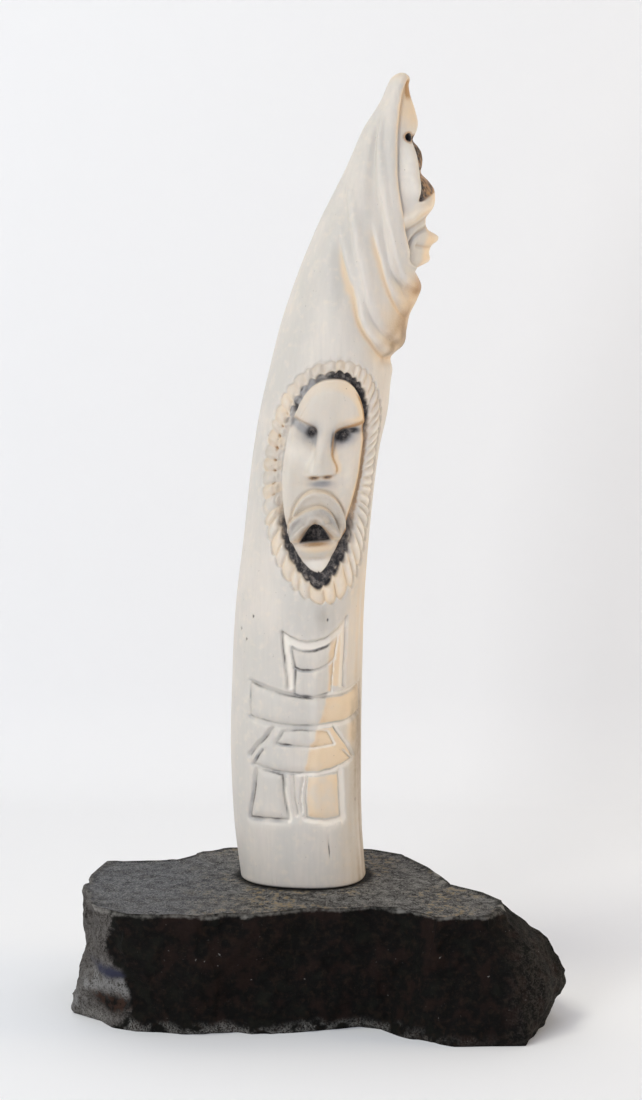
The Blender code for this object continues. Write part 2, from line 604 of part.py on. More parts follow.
def stone_rings(columns, levels):
    """The block's side, ring by ring: swelling, rounded at both rims and chipped flat."""
    top, low, belly = block_outlines(columns)
    level = np.array(levels)[:, None]
    plan = low + (top - low) * level[:, :, None]
    out = plan / np.linalg.norm(plan, axis=2, keepdims=True)
    swell = belly * np.clip(1 - ((level - BELLY_PLACE) / BELLY_REACH) ** 2, 0, 1)
    rim = np.minimum(level, 1 - level) * STONE_HEIGHT
    inset = RIM_ROUND * np.clip(1 - rim / RIM_ROUND, 0, 1) ** 2
    plan = plan + out * (swell - inset)[:, :, None]
    low, high = plan.min((0, 1)), plan.max((0, 1))
    half_size = np.array([STONE_LENGTH, STONE_DEPTH]) / 2
    plan = (plan - (low + high) / 2) * 2 * half_size / (high - low)
    height = np.broadcast_to(level * STONE_HEIGHT, plan.shape[:2])
    points = np.concatenate([plan, height[:, :, None]], axis=2)

    # Flat chips struck off the side, which spare its outermost corners
    rng = np.random.default_rng(STONE_SEED)
    for _ in range(CHIP_COUNT):
        row = rng.integers(1, len(levels) - 1)
        column = rng.integers(columns)
        facing = np.append(out[row, column], rng.uniform(-0.7, 0.7))
        facing[:2] += rng.uniform(-0.3, 0.3, 2)
        facing /= np.linalg.norm(facing)
        away = points - points[row, column]
        beyond = away @ facing + rng.uniform(0.3, 1.0) * CHIP_DEPTH
        near = 1 - ramp(0.6, 1.0, np.linalg.norm(away, axis=2) / (rng.uniform(0.5, 1.0) * CHIP_REACH))
        spared = ramp(0.0, SPARED_EDGE, (half_size - np.abs(points[:, :, :2])).min(2))
        beyond = np.clip(beyond, 0, 1.6 * CHIP_DEPTH) * near * spared
        points[:, :, :2] -= beyond[:, :, None] * facing[:2]
    return points


def closed_form(name, rings, material):
    """A solid from rings of points that run from its underside up, filled at both ends."""
    rows, around = rings.shape[:2]
    index = np.arange(rows * around).reshape(rows, around)
    after = np.roll(index, -1, axis=1)
    sides = np.stack([index[:-1], after[:-1], after[1:], index[1:]], axis=2).reshape(-1, 4)
    faces = sides.tolist() + [index[0, ::-1].tolist(), index[-1].tolist()]
    mesh = bpy.data.meshes.new(name)
    mesh.from_pydata(rings.reshape(-1, 3).tolist(), [], faces)
    mesh.materials.append(material)
    mesh.shade_smooth()
    mesh.set_sharp_from_angle(angle=math.radians(40))
    piece = bpy.data.objects.new(name, mesh)
    bpy.context.scene.collection.objects.link(piece)
    return piece


def finish(name, colour, roughness):
    """A plain material with the piece's colour and roughness."""
    material = bpy.data.materials.new(name)
    material.use_nodes = True
    shader = material.node_tree.nodes["Principled BSDF"]
    shader.inputs["Base Color"].default_value = (*colour, 1.0)
    shader.inputs["Roughness"].default_value = roughness
    shader.inputs["Metallic"].default_value = 0.0
    return material


def make_stone():
    """The rough block that the tusk stands on."""
    stone = finish("dark stone", (0.045, 0.042, 0.038), 0.85)
    return closed_form("stone_base", stone_rings(STONE_COLUMNS, BLOCK_LEVELS), stone)


def make_tusk():
    """The carved tusk, thinned to the faces that its forms need."""
    bleached = finish("bleached tusk", (0.62, 0.58, 0.52), 0.5)
    tusk = closed_form("tusk", tusk_rings(TUSK_COLUMNS, TUSK_ROWS), bleached)
    tusk.location = (*FOOT_PLACE, STONE_HEIGHT + SEAT_GAP)
    thin = tusk.modifiers.new("thin", "DECIMATE")
    thin.ratio = TUSK_TRIANGLES / (2 * len(tusk.data.polygons))
    thin.use_collapse_triangulate = True
    return tusk


def main():
    for thing in list(bpy.data.objects):
        bpy.data.objects.remove(thing, do_unlink=True)
    make_stone()
    make_tusk()


main()
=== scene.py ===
# %% [markdown]
# # A carved tusk on a rough dark stone
#
# The piece is one tusk, carved on its front and along its right edge, standing on a
# broken block of dark stone. A carver would rough out the head at the tip first, then
# sink the mask and its ruff of fur into the front, and last cut the figure of stacked
# stones with a small chisel. Polish leaves the skin of the tusk grey-white. Every cut
# goes through it to a warmer layer, and the deepest ones reach a dark, porous core.
#
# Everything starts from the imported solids, which fix the sizes and places.

# %% The frame and its sizes
import itertools
import math

import bpy
import numpy as np
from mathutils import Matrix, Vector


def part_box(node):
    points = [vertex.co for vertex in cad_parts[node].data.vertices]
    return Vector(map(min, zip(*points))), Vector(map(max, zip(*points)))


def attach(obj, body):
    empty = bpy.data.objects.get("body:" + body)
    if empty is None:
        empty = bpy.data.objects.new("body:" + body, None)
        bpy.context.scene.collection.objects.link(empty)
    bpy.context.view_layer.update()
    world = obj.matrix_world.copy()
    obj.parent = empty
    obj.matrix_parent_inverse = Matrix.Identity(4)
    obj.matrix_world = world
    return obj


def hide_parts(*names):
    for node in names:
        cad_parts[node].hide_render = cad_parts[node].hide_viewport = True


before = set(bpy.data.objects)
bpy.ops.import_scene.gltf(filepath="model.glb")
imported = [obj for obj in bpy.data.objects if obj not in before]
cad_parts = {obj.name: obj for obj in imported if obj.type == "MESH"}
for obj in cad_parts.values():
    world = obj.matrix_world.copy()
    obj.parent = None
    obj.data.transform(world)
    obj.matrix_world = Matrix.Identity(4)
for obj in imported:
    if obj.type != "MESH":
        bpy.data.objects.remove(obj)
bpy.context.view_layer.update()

TUSK_LOW, TUSK_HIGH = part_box("tusk")
STONE_LOW, STONE_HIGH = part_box("stone_base")
TUSK_HEIGHT = TUSK_HIGH.z - TUSK_LOW.z
STONE_LENGTH, STONE_DEPTH, STONE_HEIGHT = STONE_HIGH - STONE_LOW
print("tusk %.1f mm tall, stone %.0f mm long" % (1000 * TUSK_HEIGHT, 1000 * STONE_LENGTH))

# %% [markdown]
# ## Camera, floor and light
#
# The camera stands a metre in front of the stone, a little above the middle of the
# tusk, and looks down by 8.7 degrees. A long lens keeps the tusk's lines parallel.
# The floor is one pale sheet that curves up into a wall behind, so nothing but the
# object draws the eye. From its back the sheet is clear, so the object can be seen
# from behind too. Of three soft lights one stands beside the camera, one shines from
# the upper left and shows the relief, and a warm one grazes the right edge.

# %% Camera
LENS = 84.4
CAMERA_PLACE = (0.0015, -0.990, 0.332)
LOOKS_DOWN = 8.7279


def placed(name, data, place=(0.0, 0.0, 0.0), turn=(0.0, 0.0, 0.0)):
    """A new object in the scene that holds the data, at its place and turned."""
    thing = bpy.data.objects.new(name, data)
    thing.location = place
    thing.rotation_euler = turn
    bpy.context.scene.collection.objects.link(thing)
    return thing


view = bpy.data.cameras.new("camera")
view.lens = LENS
camera = placed("camera", view, CAMERA_PLACE, (math.radians(90 - LOOKS_DOWN), 0.0, 0.0))
bpy.context.scene.camera = camera
bpy.context.scene.view_settings.view_transform = "Standard"
print("camera looks down by %.2f degrees" % LOOKS_DOWN)

# %% Shader values that add up
def plug(node, sockets):
    """Fills a node's sockets: a tone is linked in, and any other value is set."""
    for name, value in sockets.items():
        if isinstance(value, Tone):
            value.tree.links.new(value.socket, node.inputs[name])
        else:
            node.inputs[name].default_value = value


class Tone:
    """A value at one socket of a material. Its sums, differences and products add nodes."""

    def __init__(self, tree, socket=None):
        self.tree = tree
        self.socket = socket

    def node(self, kind, settings=(), sockets=(), output=0):
        """Any node: its settings first, then the values or links of its sockets."""
        made = self.tree.nodes.new(kind)
        for name, value in dict(settings).items():
            setattr(made, name, value)
        plug(made, dict(sockets))
        return Tone(self.tree, made.outputs[output])

    def maths(self, operation, first, second):
        """A sum, difference or product of two values."""
        return self.node("ShaderNodeMath", {"operation": operation}, {0: first, 1: second})

    def __add__(self, other):
        return self.maths("ADD", self, other)

    def __sub__(self, other):
        return self.maths("SUBTRACT", self, other)

    def __rsub__(self, other):
        return self.maths("SUBTRACT", other, self)

    def __mul__(self, other):
        return self.maths("MULTIPLY", self, other)

    __radd__ = __add__
    __rmul__ = __mul__

    def step(self, low, high):
        """A soft step: 0 below low, 1 above high. Low above high turns it round."""
        sockets = {"Value": self, "From Min": low, "From Max": high}
        return self.node("ShaderNodeMapRange", {"interpolation_type": "SMOOTHSTEP"}, sockets)

    def colour(self, first, second):
        """The first colour where this is 0, the second where it is 1."""
        settings = {"data_type": "RGBA", "clamp_factor": True}
        return self.node("ShaderNodeMix", settings, {0: self, 6: first, 7: second}, 2)

    def noise(self, scale, detail=3.0, rough=0.5, stretch=(1.0, 1.0, 1.0)):
        """Cloudy noise with so many grains to the metre, stretched along some axes."""
        place = self.node("ShaderNodeMapping", {}, {"Vector": self, "Scale": stretch})
        sockets = {"Vector": place, "Scale": scale, "Detail": detail, "Roughness": rough}
        return self.node("ShaderNodeTexNoise", {}, sockets)

    def attribute(self, name):
        """A value that the mesh carries at each of its points."""
        return self.node("ShaderNodeAttribute", {"attribute_name": name}, {}, "Fac")

    def bump(self, strength, distance):
        """This value as the height of a fine relief, so many metres deep."""
        sockets = {"Strength": strength, "Distance": distance, "Height": self}
        return self.node("ShaderNodeBump", {}, sockets)


def colour(red, green, blue):
    """A colour as it looks on a screen, from 0 to 255, turned to the light it stands for."""
    shares = np.array([red, green, blue]) / 255
    light = np.where(shares > 0.04045, ((shares + 0.055) / 1.055) ** 2.4, shares / 12.92)
    return (*light.tolist(), 1.0)


def new_material(name):
    """An empty material: its shader node, and the place on the piece as a first value."""
    material = bpy.data.materials.new(name)
    material.use_nodes = True
    tree = material.node_tree
    place = Tone(tree).node("ShaderNodeTexCoord", {}, {}, "Object")
    return material, tree.nodes["Principled BSDF"], place


print("a screen's mid grey is a light of %.3f" % colour(128, 128, 128)[0])

# %% Floor and lights
WALL_PLACE = 0.35
COVE_RADIUS = 0.05
COVE_STEPS = 12
SHEET_REACH = 2.5
PALE_PAPER = colour(244, 244, 245)
LAMP_TARGET = (0.0, 0.0, 0.18)
ROOM_TINT = (0.77, 0.83, 1.0, 1.0)
ROOM_STRENGTH = 0.50

# Each lamp's place, the width of its square, its watts and its tint
LAMPS = {
    "front": ((-0.59, -1.02, 0.42), 0.4, 4.9, (0.99, 1.0, 0.99)),
    "window": ((-0.52, -0.30, 1.22), 0.4, 4.5, (1.0, 0.98, 0.84)),
    "warm side": ((1.18, 0.0, 0.39), 0.5, 4.7, (1.0, 0.80, 0.49)),
}


def backdrop():
    """A sheet that runs back along the floor, turns up in a quarter circle and rises."""
    bend = np.linspace(0, math.pi / 2, COVE_STEPS + 1)
    cove = WALL_PLACE - COVE_RADIUS * (1 - np.sin(bend))
    back = np.concatenate([[-SHEET_REACH], cove, [WALL_PLACE]])
    up = np.concatenate([[0.0], COVE_RADIUS * (1 - np.cos(bend)), [SHEET_REACH]])
    points = [(x, y, z) for y, z in zip(back, up) for x in (-SHEET_REACH, SHEET_REACH)]
    faces = [(2 * i, 2 * i + 1, 2 * i + 3, 2 * i + 2) for i in range(len(back) - 1)]
    mesh = bpy.data.meshes.new("backdrop")
    mesh.from_pydata(points, [], faces)
    mesh.shade_smooth()
    material, shader, place = new_material("pale paper")
    plug(shader, {"Base Color": PALE_PAPER, "Roughness": 0.9})
    behind = place.node("ShaderNodeNewGeometry", {}, {}, "Backfacing")
    clear = place.node("ShaderNodeBsdfTransparent")
    paper = Tone(place.tree, shader.outputs[0])
    sheer = place.node("ShaderNodeMixShader", {}, {0: behind, 1: paper, 2: clear})
    plug(place.tree.nodes["Material Output"], {"Surface": sheer})
    mesh.materials.append(material)
    placed("backdrop", mesh)


def lamp(name, place, size, watts, tint):
    """A square soft light that faces the middle of the tusk."""
    light = bpy.data.lights.new(name, "AREA")
    light.shape = "SQUARE"
    light.size = size
    light.energy = watts
    light.color = tint
    aim_x, aim_y, aim_z = np.array(LAMP_TARGET) - np.array(place)
    tilt = math.atan2(math.hypot(aim_x, aim_y), -aim_z)
    placed(name, light, place, (tilt, 0.0, math.atan2(aim_y, aim_x) - math.pi / 2))


backdrop()
for name, facts in LAMPS.items():
    lamp(name, *facts)
world = bpy.data.worlds.new("soft room")
bpy.context.scene.world = world
world.use_nodes = True
plug(world.node_tree.nodes["Background"], {"Color": ROOM_TINT, "Strength": ROOM_STRENGTH})
print("one pale sheet, %d soft lights" % len(LAMPS))

# %% [markdown]
# ## Curves, bumps and grain
#
# All carving below is height above or below the uncut tusk, worked out for whole
# arrays at once. Four small functions do most of it: a soft step, a bump, a smooth
# curve through stations, and the distance to a line.

# %% Helpers for carving


def ramp(low, high, value):
    """0 below low, 1 above high and a soft slope between. Low above high turns it round."""
    share = np.clip((value - low) / (high - low), 0.0, 1.0)
    return share * share * (3.0 - 2.0 * share)


def bell(value, middle, half_width):
    """1 at the middle, falling away evenly on both sides: exp(-(distance / width)^2)."""
    return np.exp(-(((value - middle) / half_width) ** 2))


def curve(place, stations, column):
    """A smooth curve through one column of the stations, cubic from each to the next."""
    places = np.array([station[0] for station in stations], float)
    values = np.array([station[column] for station in stations], float)
    slopes = np.gradient(values, places)
    low = np.clip(np.searchsorted(places, place) - 1, 0, len(places) - 2)
    step = places[low + 1] - places[low]
    t = np.clip((place - places[low]) / step, 0.0, 1.0)
    start = (2 * t**3 - 3 * t**2 + 1) * values[low] + (t**3 - 2 * t**2 + t) * step * slopes[low]
    return start + (3 * t**2 - 2 * t**3) * values[low + 1] + (t**3 - t**2) * step * slopes[low + 1]


def smooth_line(points, steps=6):
    """A line through the points with rounded bends, as more points."""
    knots = np.array(points, float)
    place = np.linspace(0, len(knots) - 1, (len(knots) - 1) * steps + 1)
    return np.stack([curve(place, list(enumerate(axis)), 1) for axis in knots.T], axis=1)


def line_distance(across, up, line):
    """Distance to the line, positive on its right-hand side, and the share of it there."""
    nearest = np.full(across.shape, np.inf)
    signed = np.zeros(across.shape)
    share = np.zeros(across.shape)
    for index, (start, end) in enumerate(zip(line[:-1], line[1:])):
        run_x, run_y = end - start
        length = run_x**2 + run_y**2
        t = np.clip(((across - start[0]) * run_x + (up - start[1]) * run_y) / length, 0.0, 1.0)
        off_x = across - start[0] - t * run_x
        off_y = up - start[1] - t * run_y
        gap = np.hypot(off_x, off_y)
        closer = gap < nearest
        nearest = np.where(closer, gap, nearest)
        signed = np.where(closer, np.sign(off_x * run_y - off_y * run_x) * gap, signed)
        share = np.where(closer, (index + t) / (len(line) - 1), share)
    return signed, share


def scramble(cells, seed):
    """A number from 0 to 1 for each whole-numbered place, the same on every run."""
    x, y, z = (cells[..., i].astype(np.uint64) for i in range(3))
    mixed = x * np.uint64(73856093) ^ y * np.uint64(19349663) ^ z * np.uint64(83492791)
    mixed = (mixed ^ np.uint64(seed * 2654435761)) & np.uint64(0xFFFFFFFF)
    for shift, factor in ((16, 0x45D9F3B), (15, 0x2C1B3C6D), (16, 1)):
        mixed = ((mixed ^ (mixed >> np.uint64(shift))) * np.uint64(factor)) & np.uint64(0xFFFFFFFF)
    return mixed.astype(float) / 0xFFFFFFFF


def lumps(points, pitch, seed):
    """Smooth noise in space from -1 to 1: random corners of cubes, blended between."""
    place = points / pitch + 4096.0
    low = np.floor(place).astype(np.int64)
    t = place - low
    t = t * t * (3 - 2 * t)
    total = np.zeros(points.shape[:-1])
    for corner in itertools.product((0, 1), repeat=3):
        weight = np.prod(np.where(np.array(corner) > 0, t, 1 - t), axis=-1)
        total += weight * scramble(low + np.array(corner), seed)
    return 2 * total - 1


def on_skin(across, up):
    """Places on the unrolled skin, as points for the noise."""
    return np.stack([across, up, 0 * up], axis=-1)


print("grain at the origin: %.3f" % lumps(np.zeros((1, 3)), 0.001, 1)[0])

# %% [markdown]
# ## The uncut tusk
#
# A tusk could be swept along a curve, but its section changes all the way up, so it
# is built ring by ring. Each ring is a squarish oval, whose middle, half width and
# half depth are read from stations up the height. A point on it is
# middle + section(angle) + relief in the direction square to the section. The rings
# and the points on them lie closest together where the carving is finest.

# %% Form of the tusk
TUSK_WIDTH = 0.0518
TUSK_DEPTH = 0.0440
FOOT_PLACE = (-0.0051, 0.0100)
FOOT_ROUND = 0.0008
TIP_ROUND = 0.0029
SECTION_POWER = 2.35
SECTION_FLATNESS = 0.86
SECTION_TURN = math.radians(-10)

# Place and middle as shares of the height, half width and half depth as shares of
# the width and the depth
TUSK_FORM = (
    (0.000, -0.0011, 0.481, 0.489), (0.063, -0.0075, 0.490, 0.495), (0.159, -0.0103, 0.500, 0.500),
    (0.254, -0.0089, 0.496, 0.500), (0.349, -0.0052, 0.488, 0.495), (0.444, 0.0040, 0.475, 0.489),
    (0.539, 0.0149, 0.475, 0.477), (0.595, 0.0253, 0.479, 0.471), (0.634, 0.0318, 0.465, 0.466),
    (0.698, 0.0504, 0.481, 0.450), (0.761, 0.0726, 0.483, 0.420), (0.824, 0.0919, 0.440, 0.364),
    (0.888, 0.1030, 0.311, 0.295), (0.935, 0.1078, 0.212, 0.216), (0.967, 0.1134, 0.125, 0.148),
    (0.989, 0.1162, 0.082, 0.092), (1.000, 0.1187, 0.062, 0.068),
)


def section(angle):
    """A flattened superellipse |x|^p + |y / f|^p = 1, turned, and its outward direction."""
    c, s = np.cos(angle), np.sin(angle)
    x = np.sign(c) * np.abs(c) ** (2 / SECTION_POWER)
    y = np.sign(s) * np.abs(s) ** (2 / SECTION_POWER) * SECTION_FLATNESS
    out_x = np.sign(c) * np.abs(c) ** (2 - 2 / SECTION_POWER)
    out_y = np.sign(s) * np.abs(s) ** (2 - 2 / SECTION_POWER) / SECTION_FLATNESS
    c, s = math.cos(SECTION_TURN), math.sin(SECTION_TURN)
    return x * c - y * s, x * s + y * c, out_x * c - out_y * s, out_x * s + out_y * c


ROUND = np.linspace(-math.pi, math.pi, 1440, endpoint=False)
ROUND_X, ROUND_Y = section(ROUND)[:2]
REACH_X, REACH_Y = ROUND_X.max(), ROUND_Y.max()
FRONT_ANGLE = ROUND[ROUND_Y.argmin()]
SIDE_ANGLE = ROUND[ROUND_X.argmax()]
print("profile %.0f degrees round from the front" % math.degrees(SIDE_ANGLE - FRONT_ANGLE))

# %% Rings and columns
TUSK_COLUMNS = 300
CROWDING = 1.6
FOOT_STEPS = 5
TIP_STEPS = 12
TIP_SWEEP = math.radians(84)

# From one height to the next, and how far apart the rings lie there
ROW_STEPS = (
    (0.0008, 0.026, 0.0020),
    (0.026, 0.108, 0.00048),
    (0.108, 0.213, 0.00034),
    (0.213, 0.306, 0.00038),
)
HEAD_STEP = 0.0004


def crowded_angles(count):
    """Angles once round the tusk from its back, close together on the carved side."""
    turn = np.linspace(-math.pi, math.pi, 1441)
    carved = ramp(-1.5, -1.2, turn) * ramp(2.3, 1.9, turn)
    share = np.concatenate([[0.0], np.cumsum(1 + CROWDING * carved[:-1])])
    return np.interp(np.arange(count) / count, share / share[-1], turn)


def ring_heights():
    """Heights of the rings, with the rounded foot and tip, and how far each draws in."""
    foot = np.linspace(0, math.pi / 2, FOOT_STEPS)
    tip = np.linspace(0, TIP_SWEEP, TIP_STEPS)
    top = TUSK_HEIGHT - TIP_ROUND
    spans = (*ROW_STEPS, (ROW_STEPS[-1][1], top, HEAD_STEP))
    body = np.concatenate([np.arange(low, high, step) for low, high, step in spans])[1:]
    heights = np.concatenate([
        FOOT_ROUND * (1 - np.cos(foot)),
        body[body < top - 0.0001],
        top + TIP_ROUND * np.sin(tip) / math.sin(TIP_SWEEP),
    ])
    inset = np.concatenate([FOOT_ROUND * (1 - np.sin(foot)), np.zeros(len(heights) - FOOT_STEPS)])
    scale = np.concatenate([np.ones(len(heights) - TIP_STEPS), np.cos(tip)])
    return heights, inset, scale


print("%d rings of %d points" % (len(ring_heights()[0]), TUSK_COLUMNS))

# %% [markdown]
# ## The mask in its ruff
#
# The mask is an egg-shaped field with a square brow and a narrow chin, framed by a
# moat and a ring of fur locks. Both outlines are eggs: powers of the distance across
# and up that add to 1. Between them, a share of the way runs from 0 at the mask to 1
# at the ruff's edge, and a count of locks runs round the ring, so every lock, gap and
# bead is a bump in those two numbers. No two locks of a hand-cut ruff are alike, so
# each gets its own small change of length and height. The face could be sculpted with
# brushes, but as a sum of bumps every form keeps a size that can be changed.
#
# Each function also says where the cuts have taken their colour, and where shade and
# highlights are painted: six masks, for the pale bevels and painted highlights, the
# peach layer, ochre creases, painted cool grey shade in hollows, dirt and painted
# shade, and the dark core, which also paints shade at the tusk's foot and in cuts.

# %% Colour masks
# Pale tone with painted highlights, peach, ochre, painted cool shade, dirt with painted shade, and the dark
# core with some painted shade
PALE_AND_HIGHLIGHT, PEACH, OCHRE, COOL_SHADE, DIRT_AND_SHADE, CORE_AND_SHADE = range(6)
STAIN_NAMES = ("pale", "peach", "ochre", "cool_shade", "dirt_and_shade", "core_and_shade")


def no_stain(shape):
    """Six empty masks over a field of this shape."""
    return np.zeros((len(STAIN_NAMES), *shape))


def stain(stains, kind, amount):
    """Deepens one mask where the amount is more than it holds already."""
    stains[kind] = np.maximum(stains[kind], amount)


def spots(stains, x, y, table, strength=1.0):
    """Oval spots of stain, each the product of a bump across and a bump up."""
    for kind, amount, middle_x, wide, middle_y, tall in table:
        stain(stains, kind, strength * amount * bell(x, middle_x, wide) * bell(y, middle_y, tall))


def egg(across, up, half_width, top, bottom, top_power, bottom_power):
    """How far out a place lies from the middle of an egg outline: 1 on the outline."""
    reach = np.where(up > 0, top, bottom)
    power = np.where(up > 0, top_power, bottom_power)
    return (np.abs(across / half_width) ** power + np.abs(up / reach) ** power) ** (1 / power)


def leaned(across, up, degrees):
    """The same place seen in a frame that leans to the left by some degrees."""
    c, s = math.cos(math.radians(degrees)), math.sin(math.radians(degrees))
    return across * c + up * s, up * c - across * s


print("stains:", *STAIN_NAMES)

# %% The upper face of the mask
MASK_PLACE = 0.517
MASK_SHIFT = 0.0004
MASK_LEAN = 4.2
MASK_WIDTH = 0.0325
MASK_HEIGHT = 0.0755
MASK_BROADER = 1.08
CHIN_SHIFT = 0.0009
BEVEL_DEPTH = 0.0011
BROW_DEPTH = 0.0031
PUPIL_DEPTH = 0.0013
CHEEK_DEPTH = 0.0011
NOSE_WIDTH = 0.0103
NOSE_RISE = 0.0007
NOSTRIL_DEPTH = 0.0009
UNDER_NOSE_DEPTH = 0.0012

# Shares of the mask's width and height from its middle. A dark spot of an eye has its
# place, its half width and height, and how black it is
BROW_LEVEL = 0.220
BROW_BEND = 0.066
FACE_SLANT = 0.075
NOSE_MIDDLE = -0.012
NOSE_ROOT = 0.075
PUPILS = (
    (-0.185, 0.226, 0.072, 0.032, 0.85),
    (0.215, 0.198, 0.105, 0.036, 1.0),
    (0.335, 0.216, 0.110, 0.015, 0.8),
)
NOSTRILS = (-0.095, 0.065)


def upper_face(x, y, stains):
    """Slanting brows over sunk eyes, and a wedge of a nose that drops off sharply."""
    size = np.abs(x)
    right_half = ramp(-0.02, 0.02, x)
    outward = np.clip((size - 0.1) / 0.36, 0, 1)
    below = BROW_LEVEL + BROW_BEND * outward**0.8 - FACE_SLANT * x - y
    beside = np.maximum(ramp(0.08, 0.12, size), ramp(0.0, -0.05, y))
    hollow = ramp(-0.010, 0.018, below) * (1 - 0.8 * ramp(0.03, 0.15 - 0.06 * outward, below))
    height = -BROW_DEPTH * hollow * beside * (1.15 - 0.75 * outward)
    # Painted cool shade under the brows
    shadow = bell(below, 0.055 - 0.03 * outward, 0.040 - 0.018 * outward)
    stain(stains, OCHRE, bell(below, -0.003, 0.015) * beside * (0.45 + 0.45 * right_half))
    stain(stains, PEACH, bell(below, -0.02, 0.03) * beside * (0.4 + 0.6 * right_half))
    stain(stains, COOL_SHADE, shadow * beside * (1 - 0.35 * right_half))
    stain(stains, PALE_AND_HIGHLIGHT, 0.6 * bell(below, 0.17, 0.08) * beside * (1 - 0.4 * right_half))
    for place_x, place_y, wide, tall, black in PUPILS:
        pupil = ((x - place_x) / wide) ** 2 + ((y - place_y) / tall) ** 2
        height -= PUPIL_DEPTH * black * np.exp(-(pupil**1.5))
        stain(stains, CORE_AND_SHADE, black * np.exp(-((pupil / 1.2) ** 1.2)))
        # Painted cool shade round each eye
        stain(stains, COOL_SHADE, np.exp(-(pupil / 3.5)))

    root = NOSE_ROOT + 0.02 * ramp(0.10, 0.24, below)
    wing = NOSE_WIDTH / MASK_WIDTH / 2
    side = root + (wing - root) * bell(y, 0.02, 0.055)
    from_nose = np.abs(x - NOSE_MIDDLE) - side
    nose = ramp(0.060, -0.015, from_nose) * ramp(-0.010, 0.003, y)
    cheek = -CHEEK_DEPTH * ramp(0.05, 0.2, below) * (1 - 0.5 * ramp(0.15, 0.42, size))
    round_bridge = np.clip(1 - ((x - NOSE_MIDDLE) / side) ** 2, 0, 1)
    height = (height + cheek) * (1 - nose) + nose * NOSE_RISE * round_bridge * ramp(0.32, 0.05, y)
    # Beside the nose: ochre and peach, dark core with painted shade on its right, and painted cool shade on
    # its left slope
    ochre = bell(from_nose, 0.032, 0.022) * ramp(-0.01, 0.02, y) * ramp(0.24, 0.17, y)
    peach = bell(from_nose, 0.06, 0.05) * ramp(-0.02, 0.02, y) * ramp(0.2, 0.1, y)
    core_and_shade = bell(from_nose, 0.015, 0.022) * ramp(0.06, 0.17, y) * ramp(0.26, 0.2, y)
    cool_shade = bell(from_nose, 0.015, 0.035) * ramp(0.0, 0.03, y) * ramp(0.24, 0.2, y)
    stain(stains, OCHRE, ochre * (0.12 + 0.68 * right_half))
    stain(stains, PEACH, peach * right_half)
    stain(stains, CORE_AND_SHADE, 0.5 * core_and_shade * right_half)
    stain(stains, COOL_SHADE, 0.3 * cool_shade * (1 - right_half))
    height -= UNDER_NOSE_DEPTH * bell(x, -0.01, 0.2) * bell(y, -0.038, 0.024)
    for place in NOSTRILS:
        nostril = bell(x, place, 0.055) * bell(y, -0.012, 0.010)
        height -= NOSTRIL_DEPTH * nostril
        stain(stains, CORE_AND_SHADE, 0.62 * nostril)
        stain(stains, OCHRE, bell(x, place, 0.075) * bell(y, -0.011, 0.015))
    return height


print("nose %.1f mm wide, %d dark spots for the eyes" % (1000 * NOSE_WIDTH, len(PUPILS)))

# %% The lips, the mouth and the chin
LIP_RISE = 0.0016
LIP_ROLL = 0.0006
MOUTH_WIDTH = 0.0128
MOUTH_DEPTH = 0.0042
MOUTH_ROLL = 0.0028
LOWER_LIP_RISE = 0.0012
CHIN_CREASE = 0.0010
LIP_BASE = -0.315
LIP_MIDDLE = -0.015
MOUTH_TOP = -0.243
MOUTH_FLOOR = -0.338
MOUTH_MIDDLE = -0.062

# Each lip's reach to the left and right, its rise, and the power of its arch on each side
LIPS = ((0.355, 0.355, 0.236, 2.2, 2.2), (0.42, 0.225, 0.157, 1.5, 2.2))


